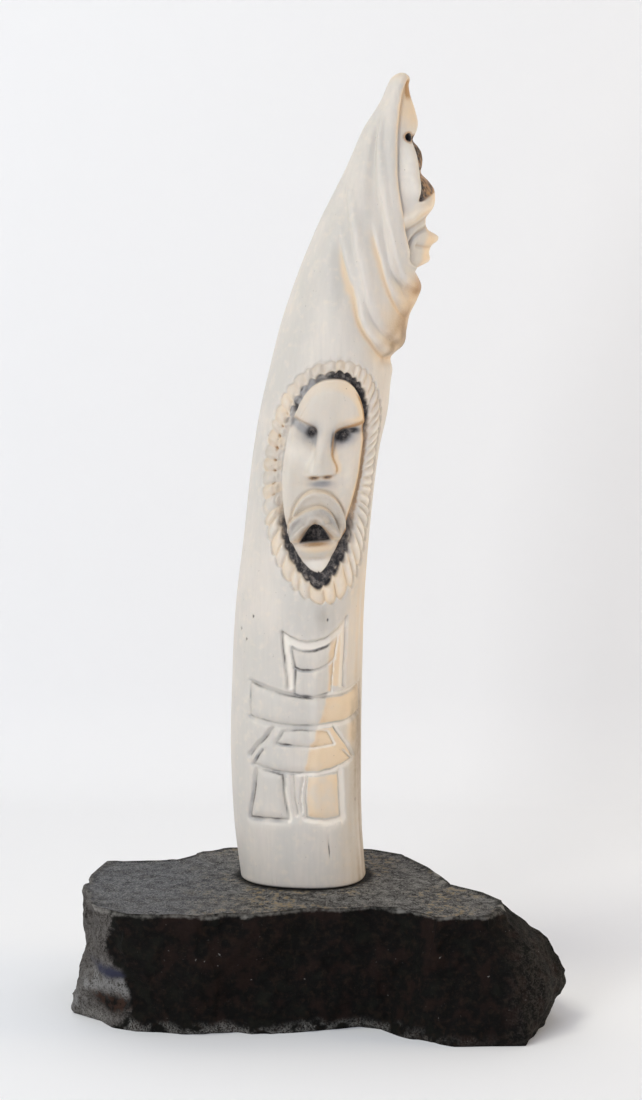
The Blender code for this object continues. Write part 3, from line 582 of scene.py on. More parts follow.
def lower_face(x, y, stains):
    """Two arched lips stepping up round a dark mouth, then the lower lip and the chin."""
    height = np.zeros(x.shape)
    lip_x = x - LIP_MIDDLE
    lip_y = np.abs(y + FACE_SLANT * x - LIP_BASE)
    above = ramp(-0.345, -0.30, y)
    for left_reach, right_reach, rise, left_power, right_power in LIPS:
        reach = np.where(lip_x < 0, left_reach, right_reach)
        power = np.where(lip_x < 0, left_power, right_power)
        arch = np.abs(lip_x / reach) ** power + (lip_y / rise) ** power
        lip = LIP_RISE * (ramp(1.0, 0.88, arch) - 0.4 * bell(arch, 1.06, 0.08))
        lip += LIP_ROLL * bell(arch, 0.84, 0.12)
        height += lip * above
        # On each lip: peach and ochre at its edge, a painted highlight on its roll, painted shade in the
        # groove outside it, and a darker face
        stain(stains, PEACH, 0.6 * bell(arch, 1.0, 0.14) * above)
        stain(stains, OCHRE, 0.34 * bell(arch, 1.05, 0.05) * above)
        stain(stains, PALE_AND_HIGHLIGHT, 0.35 * bell(arch, 0.84, 0.10) * above)
        stain(stains, DIRT_AND_SHADE, 0.40 * bell(arch, 1.08, 0.10) * above)
        stain(stains, DIRT_AND_SHADE, 0.38 * ramp(1.0, 0.85, arch) * above)
    # Painted cool shade over the lips
    stain(stains, COOL_SHADE, 0.55 * ramp(0.98, 0.82, arch) * above)
    stain(stains, PALE_AND_HIGHLIGHT, 0.3 * above * ramp(0.4, 0.3, np.abs(x)))

    drop = np.clip((MOUTH_TOP - y) / (MOUTH_TOP - MOUTH_FLOOR), 0, 1)
    beside = np.abs(x - MOUTH_MIDDLE) - MOUTH_WIDTH / MASK_WIDTH / 2 * drop**0.62
    over = (y - MOUTH_TOP) * MASK_HEIGHT / MASK_WIDTH
    over_floor = ramp(-0.02, 0.02, y - MOUTH_FLOOR)
    hole = ramp(0.014, -0.014, beside) * ramp(-0.006, 0.006, y - MOUTH_FLOOR) * ramp(0.012, -0.016, over)
    from_hole = np.hypot(np.clip(beside, 0, 1), np.clip(over, 0, 1))
    height += MOUTH_ROLL * bell(from_hole, 0.082, 0.062) * over_floor
    height = height * (1 - hole) - hole * MOUTH_DEPTH
    # A painted highlight on the rim round the mouth, peach and ochre toward the hole
    stain(stains, PALE_AND_HIGHLIGHT, 0.6 * bell(from_hole, 0.088, 0.04) * over_floor)
    stain(stains, PEACH, bell(from_hole, 0.05, 0.08) * over_floor)
    stain(stains, OCHRE, 0.75 * bell(from_hole, 0.0, 0.035) * over_floor)
    stains[:CORE_AND_SHADE] *= 1 - hole
    stain(stains, CORE_AND_SHADE, hole)
    height += LOWER_LIP_RISE * bell(x, -0.04, 0.3) * bell(y, -0.372, 0.026)
    return height - CHIN_CREASE * bell(x, -0.05, 0.3) * bell(y, -0.425, 0.014)


print("mouth %.1f mm wide and %.1f mm deep" % (1000 * MOUTH_WIDTH, 1000 * MOUTH_DEPTH))

# %% The whole mask
OLD_SKIN = 0.32

# Colour under the cheeks, the nose, the lip and the chin, with painted cool shade under
# the nose, painted shade in the chin's crease and pale tone with painted highlights:
# kind, amount, place and half width across, place and half width up
MASK_SPOTS = (
    (PEACH, 0.36, -0.30, 0.15, 0.0, 0.22),
    (PALE_AND_HIGHLIGHT, 0.45, 0.33, 0.10, 0.0, 0.16),
    (COOL_SHADE, 0.95, -0.01, 0.17, -0.045, 0.02),
    (CORE_AND_SHADE, 0.3, 0.02, 0.12, -0.040, 0.012),
    (CORE_AND_SHADE, 0.35, 0.20, 0.07, -0.250, 0.06),
    (OCHRE, 0.95, -0.07, 0.20, -0.351, 0.013),
    (PEACH, 1.0, -0.05, 0.25, -0.372, 0.03),
    (DIRT_AND_SHADE, 0.35, -0.05, 0.30, -0.425, 0.018),
    (OCHRE, 0.4, -0.05, 0.20, -0.428, 0.012),
    (PALE_AND_HIGHLIGHT, 1.0, -0.03, 0.20, -0.460, 0.04),
)


def mask_relief(across, up, mask):
    """Height of the mask against the uncut tusk, and its stains."""
    x, y = across / MASK_WIDTH, up / MASK_HEIGHT
    stains = no_stain(x.shape)
    left = bell(x, -0.5, 0.14)
    band = ramp(0.78, 0.93, mask) * (1 - 0.8 * left)
    ridge = bell(x, -0.012, 0.08) * ramp(0.0, 0.05, y) * ramp(0.20, 0.10, y)
    stain(stains, PALE_AND_HIGHLIGHT, 0.45 * left)
    stain(stains, PEACH, np.full(x.shape, OLD_SKIN))
    stain(stains, PEACH, 0.8 * band * ramp(-0.45, -0.05, y) * (0.6 + 0.4 * ramp(-0.1, 0.2, x)))
    stain(stains, OCHRE, 0.35 * bell(mask, 0.86, 0.02) * bell(x, -0.33, 0.12) * ramp(0.2, 0.3, y))
    stain(stains, DIRT_AND_SHADE, 0.26 * (1 - 0.8 * bell(x, 0.33, 0.14)) * (1 - 0.8 * bell(y, -0.46, 0.06)))
    stain(stains, DIRT_AND_SHADE, 0.34 * ridge)
    spots(stains, x, y, MASK_SPOTS)
    height = -BEVEL_DEPTH * ramp(0.84, 1.0, mask) * (1 - 0.6 * left)
    height += upper_face(x, y, stains) + lower_face(x, y, stains)
    right_edge = ramp(0.1, 0.3, x) * ramp(0.44, 0.36, y)
    stain(stains, OCHRE, ramp(0.92, 0.98, mask) * right_edge)
    stain(stains, DIRT_AND_SHADE, 0.5 * ramp(0.95, 0.99, mask) * right_edge)
    return height, stains


print("%d spots of stain on the mask" % len(MASK_SPOTS))

# %% The ruff
RUFF_SHIFT = 0.0011
RUFF_LEAN = 7.5
RUFF_WIDTH = 0.0530
RUFF_HEIGHT = 0.0953
MOAT_DEPTH = 0.0032
LOCK_HEIGHT = 0.0014
LOCK_PITCH = 0.0049
LOCK_SWEEP = 0.3
LOCK_SEED = 5
BEAD_HEIGHT = 0.0009
PIT_DEPTH = 0.0010
MOAT_LUMPS = 0.0004


def arc(turn, middle, half_width):
    """A bump round the ring, in degrees, that doesn't mind where the turn starts."""
    away = (np.degrees(turn) - middle + 180) % 360 - 180
    return np.exp(-((away / half_width) ** 2))


def ruff_and_mask(across, up):
    """Relief and stains of the open-mouthed mask and the ring of fur locks round it."""
    up = up - MASK_PLACE * TUSK_HEIGHT
    mask_x, mask_y = leaned(across + MASK_SHIFT, up, MASK_LEAN)
    ruff_x, ruff_y = leaned(across - RUFF_SHIFT, up, RUFF_LEAN)
    chin_power = np.where(mask_x > 0, 1.3, 1.9)
    half_width = MASK_WIDTH / 2 * np.where(mask_x > 0, MASK_BROADER, 1.0)
    mask_x = mask_x - CHIN_SHIFT * ramp(-0.2, -0.5, mask_y / MASK_HEIGHT)
    mask = egg(mask_x, mask_y, half_width, 0.49 * MASK_HEIGHT, 0.505 * MASK_HEIGHT, 2.4, chin_power)
    ruff = egg(ruff_x, ruff_y, RUFF_WIDTH / 2, 0.466 * RUFF_HEIGHT, 0.53 * RUFF_HEIGHT, 2.2, 1.95)
    share = (mask - 1) / np.maximum(mask - ruff, 1e-6)
    turn = np.arctan2(ruff_y / RUFF_HEIGHT, ruff_x / RUFF_WIDTH)

    # The count of locks round the ring, which are widest at its lower left
    around = np.linspace(-math.pi, math.pi, 721)
    speed = np.hypot(RUFF_WIDTH * np.sin(around), RUFF_HEIGHT * np.cos(around)) / 2
    pitch = LOCK_PITCH * (1 + 0.16 * np.cos(around - math.radians(205)))
    count = np.concatenate([[0.0], np.cumsum((speed / pitch)[:-1]) * (around[1] - around[0])])
    locks = round(count[-1])
    place = np.interp(turn, around, count * locks / count[-1]) - LOCK_SWEEP * share
    place = place + 0.10 * np.sin(2.4 * place) + 0.05 * np.sin(5.1 * place)
    lock = place % 1.0 * 2 - 1
    number = np.floor(place).astype(int) % locks
    draw = np.random.default_rng(LOCK_SEED).uniform(-1, 1, (3, locks))[:, number]

    left = arc(turn, 165, 31)
    right = arc(turn, -8, 34)
    low_left = arc(turn, -135, 34)
    high = arc(turn, 100, 38)
    moat_end = 0.47 + 0.03 * left - 0.34 * right + 0.1 * arc(turn, -90, 46) + 0.04 * draw[0]
    moat_depth = MOAT_DEPTH * (1 - 0.66 * left - 0.45 * right - 0.35 * arc(turn, 125, 23))
    scallop = (0.10 + 0.12 * arc(turn, 120, 45)) * (1 - right) * lock**2
    in_moat = ramp(moat_end + 0.06, moat_end - 0.06, share + scallop)
    tall = LOCK_HEIGHT * (1 - 0.45 * left - 0.5 * high)
    floor = -moat_depth * in_moat - 0.8 * tall * (1 - in_moat)
    length = (share - (moat_end + 1) / 2) / ((1 - moat_end) / 2 + 0.02)
    end = 1 - 0.05 * (1 + draw[1])
    crisp = np.clip(1 - np.abs(lock) ** 2.2, 0, 1) ** 0.65
    softness = np.clip(0.35 + 0.5 * left + 0.5 * high + 0.3 * right, 0, 1)
    body = crisp + (0.5 + 0.5 * np.cos(math.pi * lock) - crisp) * softness
    body = body * np.clip(1 - np.abs(length / end) ** 2.4, 0, 1) ** (0.4 + softness)
    body = body * (1 - 0.35 * low_left * bell(lock, 0, 0.45))
    inner = np.clip(1 - lock**2, 0, 1) * bell(share, 0.76 * moat_end, 0.11)
    pits = left * bell(share, moat_end, 0.09) * np.abs(lock) ** 3
    ring = floor + tall * (1 + 0.3 * draw[2]) * body + BEAD_HEIGHT * inner * (1 - right) - PIT_DEPTH * pits
    skin = on_skin(across, up)
    lumpy = lumps(skin, 0.0021, 41) + 0.6 * lumps(skin, 0.0012, 42)
    upper_left = arc(turn, 118, 32)
    ring = ring + MOAT_LUMPS * lumpy * in_moat * (1 - 0.7 * right + 1.3 * upper_left)
    outside = ramp(0.985, 1.03, share + 0.1 * lock**2)
    ring = ring * (1 - outside)

    # Colours: a dark moat with painted cool shade at its upper left and left, warm gaps
    # between the locks, and pale tone with painted highlights on the locks
    stains = no_stain(across.shape)
    on_ring = 1 - outside
    gap = np.abs(lock) ** 5 * ramp(moat_end - 0.05, moat_end + 0.1, share) * on_ring * (1 - 0.7 * softness)
    dark = np.maximum(arc(turn, 62, 34), np.maximum(arc(turn, -92, 46), 0.85 * arc(turn, -135, 24)))
    dark = np.clip(1.5 * dark, 0, 1) * in_moat
    stain(stains, CORE_AND_SHADE, dark * (1 - 0.3 * inner - 0.25 * np.clip(lumpy, 0, 1)))
    stain(stains, CORE_AND_SHADE, 0.6 * pits * ramp(0.2, 0.7, 0.5 + 0.5 * draw[1]))
    stain(stains, COOL_SHADE, in_moat * np.maximum(upper_left, left * (0.25 + 0.5 * ramp(0.15, 0.0, share))))
    stain(stains, CORE_AND_SHADE, in_moat * upper_left * np.clip(0.3 - 0.5 * lumpy, 0, 0.7))
    stain(stains, OCHRE, in_moat * (arc(turn, -8, 40) + 0.5 * arc(turn, -140, 40)) * ramp(0.0, 0.05, share))
    stain(stains, CORE_AND_SHADE, ramp(0.13, 0.06, share) * (0.12 + 0.15 * lumpy) * arc(turn, -14, 46))
    stain(stains, DIRT_AND_SHADE, 0.7 * in_moat * arc(turn, -6, 44) * ramp(0.3, 0.1, share))
    yellow = left * bell(share, moat_end + 0.05, 0.13) * lock**2 * (0.6 + 0.4 * draw[1])
    yellow = 0.55 * yellow + 0.4 * gap * (0.12 + low_left + 0.5 * arc(turn, -80, 30))
    stain(stains, OCHRE, 0.9 * pits + yellow)
    warm = 0.38 + 0.14 * draw[1] + 0.25 * arc(turn, -85, 30)
    stain(stains, PEACH, warm * on_ring * (1 - 0.8 * right) + 0.3 * gap * (1 - right))
    stain(stains, DIRT_AND_SHADE, 0.30 * on_ring * (0.4 + 0.8 * np.maximum(left, high)))
    # Pale tone and painted highlights on the locks, most at the right and lower right
    stain(stains, PALE_AND_HIGHLIGHT, body * (0.35 + 0.65 * np.maximum(right, 0.8 * arc(turn, -45, 40))))

    inside = ramp(1.015, 0.985, mask)
    face, face_stains = mask_relief(mask_x, mask_y, mask)
    ring_wide = (1 - inside) * (mask > ruff)
    return inside * face + ring_wide * ring, inside * face_stains + ring_wide * stains


print("mask %.0f mm tall in a ruff of %.0f mm" % (1000 * MASK_HEIGHT, 1000 * RUFF_HEIGHT))

# %% [markdown]
# ## The figure of stacked stones
#
# This landmark figure is only incised. Each of its stones is outlined by four slanted
# cuts of different widths: a broad slope runs down to a steep wall at the stone's
# edge, and the edge itself is rounded over. The lintels sag a little. On the right
# the stones are scraped through the skin, so they turn warm along one crisp line.
# Boolean cuts would leave square slots, so each cut is a slope worked out from the
# distance to its line, and a slow waver keeps it from looking ruled. The slopes are
# painted pale as highlights where they are bared or slope inward and grey as shade
# elsewhere, and a broken dark line of painted shade runs along the foot of each wall.

# %% Incised stones
LINE_DEPTH = 0.0008
BAND_DEPTH = 0.0011
CREST_DEPTH = 0.0006
CREST_MIDDLE = 0.003
CREST_FADE = 0.015
FIGURE_LOW = 0.07
FIGURE_HIGH = 0.36
FIGURE_REACH = 0.12
BARED_PLACE = 0.008
CUT_UNIT = 0.00046
WALL_WIDTH = 0.0007
EDGE_ROLL = 0.0017
WIDE_CUT = 4
CREST_PLACE = 0.0135
CREST_HALF = 0.014
HAND_WAVER = 0.0004

# Up the crest: share of the tusk's height, and how far it lies right of its place
CREST_LINE = ((0.09, -0.0040), (0.165, -0.0038), (0.195, -0.001), (0.23, 0.0028), (0.32, 0.0040))

# Shares of the tusk's height from its front line and foot: bottom left, top left, top
# right and bottom right corner, how far the top and the bottom sag, and the widths of
# the cuts at the left, top, right and bottom. A cut slopes down to the stone from
# outside, or from inside where its width is below 0
STONES = (
    ((-0.024, 0.254), (-0.033, 0.325), (0.051, 0.342), (0.051, 0.254), 0.021, 0.0, (-8, -9, -9, 0)),
    ((-0.015, 0.281), (-0.019, 0.305), (0.038, 0.318), (0.033, 0.291), 0.010, 0.008, (2, 2, 2, 3)),
    ((-0.015, 0.247), (-0.014, 0.277), (0.033, 0.289), (0.033, 0.248), 0.0, 0.003, (2, 0, 1, 2)),
    ((-0.073, 0.217), (-0.074, 0.258), (0.085, 0.251), (0.092, 0.219), 0.012, 0.010, (1, 5, 2, 5)),
    ((-0.073, 0.166), (-0.041, 0.205), (0.036, 0.204), (0.069, 0.163), 0.0, 0.0, (4, 0, 4, 0)),
    ((-0.037, 0.185), (-0.028, 0.201), (0.028, 0.197), (0.036, 0.183), -0.003, 0.003, (2, 3, 3, 3)),
    ((-0.068, 0.156), (-0.055, 0.174), (0.051, 0.172), (0.066, 0.160), -0.008, 0.011, (3, 0, 2, 4)),
    ((-0.074, 0.088), (-0.063, 0.151), (-0.029, 0.144), (-0.024, 0.089), 0.0, 0.0, (4, 4, 5, 5)),
    ((-0.012, 0.095), (-0.015, 0.143), (-0.004, 0.142), (-0.006, 0.098), 0.0, 0.0, (4, 0, 1, 0)),
    ((-0.001, 0.091), (0.001, 0.143), (0.044, 0.146), (0.046, 0.091), 0.0, 0.002, (2, 3, 8, 6)),
)


def bowed(start, end, sag):
    """A line from one corner to another that sags in its middle by 4 sag t (1 - t)."""
    share = np.linspace(0, 1, 9)
    line = np.outer(1 - share, start) + np.outer(share, end)
    line[:, 1] -= 4 * sag * share * (1 - share)
    return line * TUSK_HEIGHT


def cut(gap, width, depth):
    """A slanted cut beside a stone: a broad slope, a steep wall and a rounded edge above it."""
    slope = ramp(-width, 0.0, gap) * ramp(WALL_WIDTH, 0.0, gap)
    return -depth * np.maximum(slope, 0.5 * bell(gap, 0.0, EDGE_ROLL) * (gap > 0))


def stacked_stones(across, up):
    """Relief and stains of the incised landmark figure, stone by stone."""
    height = np.zeros(across.shape)
    stains = no_stain(across.shape)
    share = up / TUSK_HEIGHT
    near = (share > FIGURE_LOW) & (share < FIGURE_HIGH) & (np.abs(across) < FIGURE_REACH * TUSK_HEIGHT)
    x, y, share = across[near], up[near], share[near]
    skin = on_skin(x, y)
    crest_line = CREST_PLACE * TUSK_HEIGHT + curve(share, CREST_LINE, 1)
    from_crest = x - crest_line + 0.0006 * lumps(skin, 0.003, 53)
    right = ramp(-0.0008, 0.0012, from_crest)
    bared = ramp(-0.0008, 0.0012, from_crest + BARED_PLACE * ramp(0.150, 0.140, share))
    x = x + HAND_WAVER * (lumps(skin, 0.0075, 51) + 0.4 * lumps(skin, 0.0025, 54))
    y = y + HAND_WAVER * (lumps(skin, 0.0090, 52) + 0.4 * lumps(skin, 0.0025, 55))
    share = y / TUSK_HEIGHT
    # Uneven strength for the painted shade along the cuts
    worn = 0.6 + 0.4 * lumps(skin, 0.0040, 56)
    found, pale, shaded, dark, warm = (np.zeros(x.shape) for _ in range(5))
    for low_left, top_left, top_right, low_right, top_sag, low_sag, widths in STONES:
        edges = (
            bowed(low_left, top_left, 0.0),
            bowed(top_left, top_right, top_sag),
            bowed(top_right, low_right, 0.0),
            bowed(low_right, low_left, low_sag),
        )
        gaps = [line_distance(x, y, line)[0] for line in edges]
        depth_inside = np.minimum.reduce(gaps)
        within = ramp(-0.0008, 0.0002, depth_inside)
        for gap, width in zip(gaps, widths):
            if not width:
                continue
            gap = gap * np.sign(width)
            wide = abs(width) * CUT_UNIT
            depth = BAND_DEPTH if abs(width) >= WIDE_CUT else LINE_DEPTH
            kept = within if width < 0 else 1.0
            found = np.minimum(found, kept * cut(gap, wide, depth))
            # Painted highlight on the slope where the cut is bared or slopes inward, painted grey shade on
            # the others, and a dark line of painted shade at the wall's foot
            slope = kept * bell(gap, -0.42 * wide, 0.36 * wide) * ramp(0.0002, -0.0002, gap)
            highlit = 1.0 if width < 0 else bared
            pale = np.maximum(pale, slope * highlit)
            shaded = np.maximum(shaded, slope * (1 - highlit) * worn)
            deep = 0.8 - 0.6 * right if width < 0 else (0.75 - 0.35 * bared) * min(1, abs(width) / 2)
            dark = np.maximum(dark, kept * bell(gap, 0.0001, 0.0006) * deep * worn)
        warm = np.maximum(warm, ramp(0.0001, 0.0009, depth_inside) * right)
    dressed = ramp(0.08, 0.095, share) * ramp(0.30, 0.28, share)
    crest = ramp(0.0, CREST_HALF, np.abs(x / TUSK_HEIGHT - CREST_PLACE))
    crest = crest * bell(x, CREST_MIDDLE, CREST_FADE)
    height[near] = found - CREST_DEPTH * crest * dressed
    cloudy = 0.95 + 0.25 * lumps(skin, 0.0060, 57) + 0.15 * lumps(skin, 0.0020, 58)
    cloudy = cloudy * (1 - 0.3 * ramp(0.16, 0.135, share))
    stains[PALE_AND_HIGHLIGHT][near] = pale
    stains[PEACH][near] = np.maximum(warm * cloudy, 0.35 * pale * right)
    stains[OCHRE][near] = warm * (0.12 * cloudy + 0.2 * bell(x, crest_line, 0.003)) + 0.5 * dark * bared
    stains[COOL_SHADE][near] = 0.8 * shaded
    stains[CORE_AND_SHADE][near] = np.maximum(dark, 0.28 * shaded)
    return height, stains


print("%d stones in the figure" % len(STONES))

# %% [markdown]
# ## The hooded head
#
# The head faces right, so its profile is the tusk's own outline there. The profile is
# a curve of how far it reaches past the uncut tusk, and each form spreads round by
# its own number of degrees: a nose is narrow, a forehead wide. Inside the hood's edge
# the face lies deeper than the cloth. The folds are lines on the cloth, each a sharp
# groove on one side and a soft roll on the other. A head could be made apart and
# joined on, but as relief on the same rings it has no seam.

# %% The head
HOOD_THICKNESS = 0.0018
HEM_RISE = 0.0005
HEM_WIDTH = 0.0016
HEM_STEP = 0.0006
FACE_HOLLOW = 0.0030
CHEEK_RISE = 0.0021
EYE_WIDTH = 0.0030
EYE_DEPTH = 0.0022
EYE_HOLLOW = 0.0005
OPENING_DEPTH = 0.0013
CORNER_DEPTH = 0.00072
LOWER_LIP_PLACE = 0.8584
LOWER_LIP_SLANT = 0.00024
PROFILE_TOP = 0.985
CHIN_PLACE = 0.764
EYE_PLACE = (0.62, 0.9225)
EYE_SQUEEZE = 0.6
DEGREE_WIDTH = 0.0004

# Place and reach as shares of the height, and the degrees that each form spreads
PROFILE = (
    (0.632, 0.1085, 30), (0.645, 0.1080, 30), (0.656, 0.1072, 34), (0.671, 0.1222, 34),
    (0.690, 0.1264, 34), (0.708, 0.1302, 34), (0.727, 0.1393, 34), (0.744, 0.1440, 34),
    (0.755, 0.1395, 32), (0.763, 0.1358, 34), (0.773, 0.1530, 30), (0.785, 0.1535, 28),
    (0.793, 0.1572, 22), (0.798, 0.1632, 18), (0.803, 0.1642, 18), (0.812, 0.1512, 24),
    (0.822, 0.1481, 30), (0.840, 0.1590, 36), (0.851, 0.1604, 38), (0.861, 0.1588, 38),
    (0.871, 0.1515, 34), (0.880, 0.1430, 30), (0.889, 0.1446, 15), (0.899, 0.1448, 13),
    (0.909, 0.1415, 13), (0.920, 0.1329, 30), (0.928, 0.1366, 44), (0.937, 0.1388, 44),
    (0.956, 0.1350, 46), (0.975, 0.1287, 46), (0.994, 0.1262, 46),
)

# The hood's edge: share of the height, degrees round from the profile
HOOD_EDGE = (
    (0.760, 8), (0.770, 45), (0.787, 57), (0.810, 68), (0.837, 76), (0.873, 84),
    (0.908, 87), (0.945, 88), (0.963, 88), (0.978, 81), (0.994, 52),
)

# Lines of the face below the eye: degrees round from the profile and share of the
# height along each, how far it stands up or sinks, and half its width
FACE_LINES = (
    (((0, 0.848), (27, 0.842), (50, 0.834), (62, 0.826), (76, 0.822)), 0.0022, 0.0028),
    (((0, 0.831), (27, 0.827), (50, 0.820), (66, 0.812)), -0.0006, 0.0014),
    (((0, 0.822), (30, 0.815), (50, 0.808), (58, 0.795), (54, 0.772)), -0.0010, 0.0009),
    (((0, 0.7905), (25, 0.7915), (46, 0.794)), -0.0007, 0.0009),
)


def drawn(points):
    """A smooth line through points given as degrees round and shares of the height."""
    return smooth_line([(turn * DEGREE_WIDTH, share * TUSK_HEIGHT) for turn, share in points])


def face_in_hood(turn, share, edge, reach, radius, stains):
    """Height of the face: forehead, eye, nose, open mouth, jaw and the tuft below."""
    spread = curve(np.clip(share, PROFILE[0][0], PROFILE_TOP), PROFILE, 2)
    place = np.clip(turn / np.maximum(edge, 1), 0, 1.5)
    hollow = FACE_HOLLOW * ramp(0.862, 0.875, share) * ramp(0.932, 0.922, share)
    ground = -HOOD_THICKNESS - hollow * bell(turn, 0, 38)
    face = ground + (reach + HOOD_THICKNESS + hollow) * bell(turn, 0, spread)
    cheek = bell(place, 0.64, 0.2) * ramp(0.825, 0.85, share) * ramp(0.922, 0.895, share)
    face += CHEEK_RISE * cheek
    eye_x = EYE_SQUEEZE * (place - EYE_PLACE[0]) * np.radians(edge) * radius
    eye = np.hypot(eye_x, (share - EYE_PLACE[1]) * TUSK_HEIGHT)
    face -= EYE_DEPTH * ramp(0.55 * EYE_WIDTH, 0.35 * EYE_WIDTH, eye)
    face -= EYE_HOLLOW * bell(eye, 0, EYE_WIDTH)
    border = 36 + 500 * np.clip(0.885 - share, 0, 0.036)
    opening = ramp(border + 3, border - 4, turn) * ramp(0.887, 0.880, share)
    opening *= ramp(-0.0015, 0.0015, share - LOWER_LIP_PLACE + LOWER_LIP_SLANT * turn)
    face -= OPENING_DEPTH * opening * ramp(4, 30, turn)
    face -= CORNER_DEPTH * bell(place, 0.5, 0.1) * bell(share, 0.866, 0.014)
    across, up = turn * DEGREE_WIDTH, share * TUSK_HEIGHT
    for points, rise, width in FACE_LINES:
        gap = line_distance(across, up, drawn(points))[0]
        face += rise * bell(gap, 0, width) * ramp(8, 40, turn)
        # Raised lines are warm, with a painted highlight along the top; sunk lines are ochre, with painted
        # cool shade
        if rise > 0:
            stain(stains, PEACH, 0.85 * bell(gap, 0, 0.0040) * (1 - 0.5 * ramp(40, 66, turn)))
            stain(stains, PALE_AND_HIGHLIGHT, 0.5 * bell(gap, -0.0006, 0.0020) * ramp(10, 30, turn))
        else:
            stain(stains, OCHRE, 0.4 * bell(gap, 0, 0.0007))
            stain(stains, COOL_SHADE, 0.5 * bell(gap, 0, 0.0014) * ramp(0.78, 0.80, share))

    # The forehead is warm, the nose is worn through to the core, and so is the mouth
    strip = ramp(45, 36, turn) * ramp(0.880, 0.886, share) * ramp(0.931, 0.920, share)
    speckle = lumps(on_skin(across, up), 0.0010, 61)
    stain(stains, PEACH, 0.75 * ramp(0.915, 0.955, share) + 0.15 * ramp(0.96, 0.98, share))
    stain(stains, PEACH, 0.8 * ramp(40, 20, turn) * ramp(0.862, 0.855, share))
    stain(stains, PALE_AND_HIGHLIGHT, 0.6 * bell(place, 0.75, 0.25) * ramp(0.84, 0.86, share) * ramp(0.93, 0.91, share))
    stain(stains, OCHRE, 0.9 * ramp(0.95, 0.5, place) * ramp(0.962, 0.975, share))
    stain(stains, OCHRE, 0.7 * bell(eye, 0.6 * EYE_WIDTH, 0.25 * EYE_WIDTH))
    stain(stains, OCHRE, np.maximum(strip, opening))
    stain(stains, CORE_AND_SHADE, ramp(0.62 * EYE_WIDTH, 0.45 * EYE_WIDTH, eye))
    stain(stains, CORE_AND_SHADE, strip * (0.62 + 0.4 * speckle + 0.2 * bell(turn, 38, 14)))
    stain(stains, CORE_AND_SHADE, opening * (0.34 + 0.3 * speckle + 0.5 * bell(turn, border - 4, 10)))
    return face


print("profile of %d stations, hood's edge of %d" % (len(PROFILE), len(HOOD_EDGE)))

# %% The drapery
FOLD_DEPTH = 0.0013
FOLD_ROLL = 0.0006
FOLD_SHARP = 0.0010
FOLD_SOFT = 0.0032
ROLL_PLACE = 0.0028
ROLL_WIDTH = 0.0018

# Each fold's line in degrees round from the profile and shares of the height, how
# deep it is beside the others, and how warm its crease
FOLDS = (
    (((128, 0.954), (119, 0.925), (109, 0.882), (99, 0.842), (82, 0.787), (64, 0.755), (30, 0.738),
      (0, 0.733)), 1.0, 0.1),
    (((95, 0.831), (82, 0.799), (70, 0.774), (52, 0.745), (34, 0.727), (0, 0.712)), 0.6, 0.3),
    (((105, 0.835), (97, 0.803), (84, 0.772), (70, 0.744), (52, 0.722), (30, 0.708), (0, 0.703)),
     0.7, 1.0),
    (((168, 0.887), (137, 0.851), (118, 0.814), (106, 0.781), (92, 0.740), (74, 0.706), (50, 0.684),
      (20, 0.672), (0, 0.668)), 0.9, 0.15),
    (((134, 0.824), (119, 0.788), (108, 0.762), (96, 0.730), (84, 0.700), (66, 0.678), (40, 0.660),
      (0, 0.656)), 1.25, 1.0),
)

# Darker, browner spots at the drapery's foot and knee: kind, amount, place and half
# width round in degrees, place and half width up as shares of the height
FOOT_SPOTS = (
    (OCHRE, 0.35, 20, 34, 0.735, 0.022),
    (CORE_AND_SHADE, 0.30, 6, 14, 0.668, 0.018),
)
CLOUDY_SPOTS = (
    (OCHRE, 1.0, 6, 50, 0.690, 0.045),
    (OCHRE, 0.5, 42, 20, 0.712, 0.024),
    (OCHRE, 0.95, 4, 40, 0.742, 0.022),
    (DIRT_AND_SHADE, 0.5, 0, 30, 0.742, 0.018),
)


def cloth_folds(turn, share, up, from_edge, reach, stains):
    """Height of the hood's cloth: the reach of the profile, its rim and the folds."""
    cloth = reach * bell(turn, 0, 36)
    cloth += HEM_RISE * bell(from_edge, -HEM_WIDTH, HEM_WIDTH) * ramp(0.76, 0.79, share)
    across = turn * DEGREE_WIDTH
    low = ramp(0.63, 0.65, share)
    for points, weight, warmth in FOLDS:
        gap, along = line_distance(across, up, drawn(points))
        fade = ramp(0.0, 0.2, along) * ramp(6, 30, turn) * weight
        roll = bell(gap, ROLL_PLACE, ROLL_WIDTH)
        groove = np.where(gap > 0, bell(gap, 0, FOLD_SHARP), bell(gap, 0, FOLD_SOFT))
        crease = np.where(gap > 0, bell(gap, 0, 0.0008), bell(gap, 0, 0.0014)) * ramp(0.0, 0.3, along) * low
        cloth += fade * (FOLD_ROLL * roll - FOLD_DEPTH * groove)
        # Each crease is peach where warm and painted cool shade where not, with ochre in its groove and a
        # painted highlight on its roll
        stain(stains, PEACH, 0.9 * warmth * crease)
        stain(stains, OCHRE, 0.4 * warmth * bell(gap, -0.0002, 0.0008) * ramp(0.2, 0.6, along) * low)
        stain(stains, COOL_SHADE, 0.28 * (1 - warmth) * crease)
        stain(stains, PALE_AND_HIGHLIGHT, 0.2 * roll * fade)
    return cloth * low


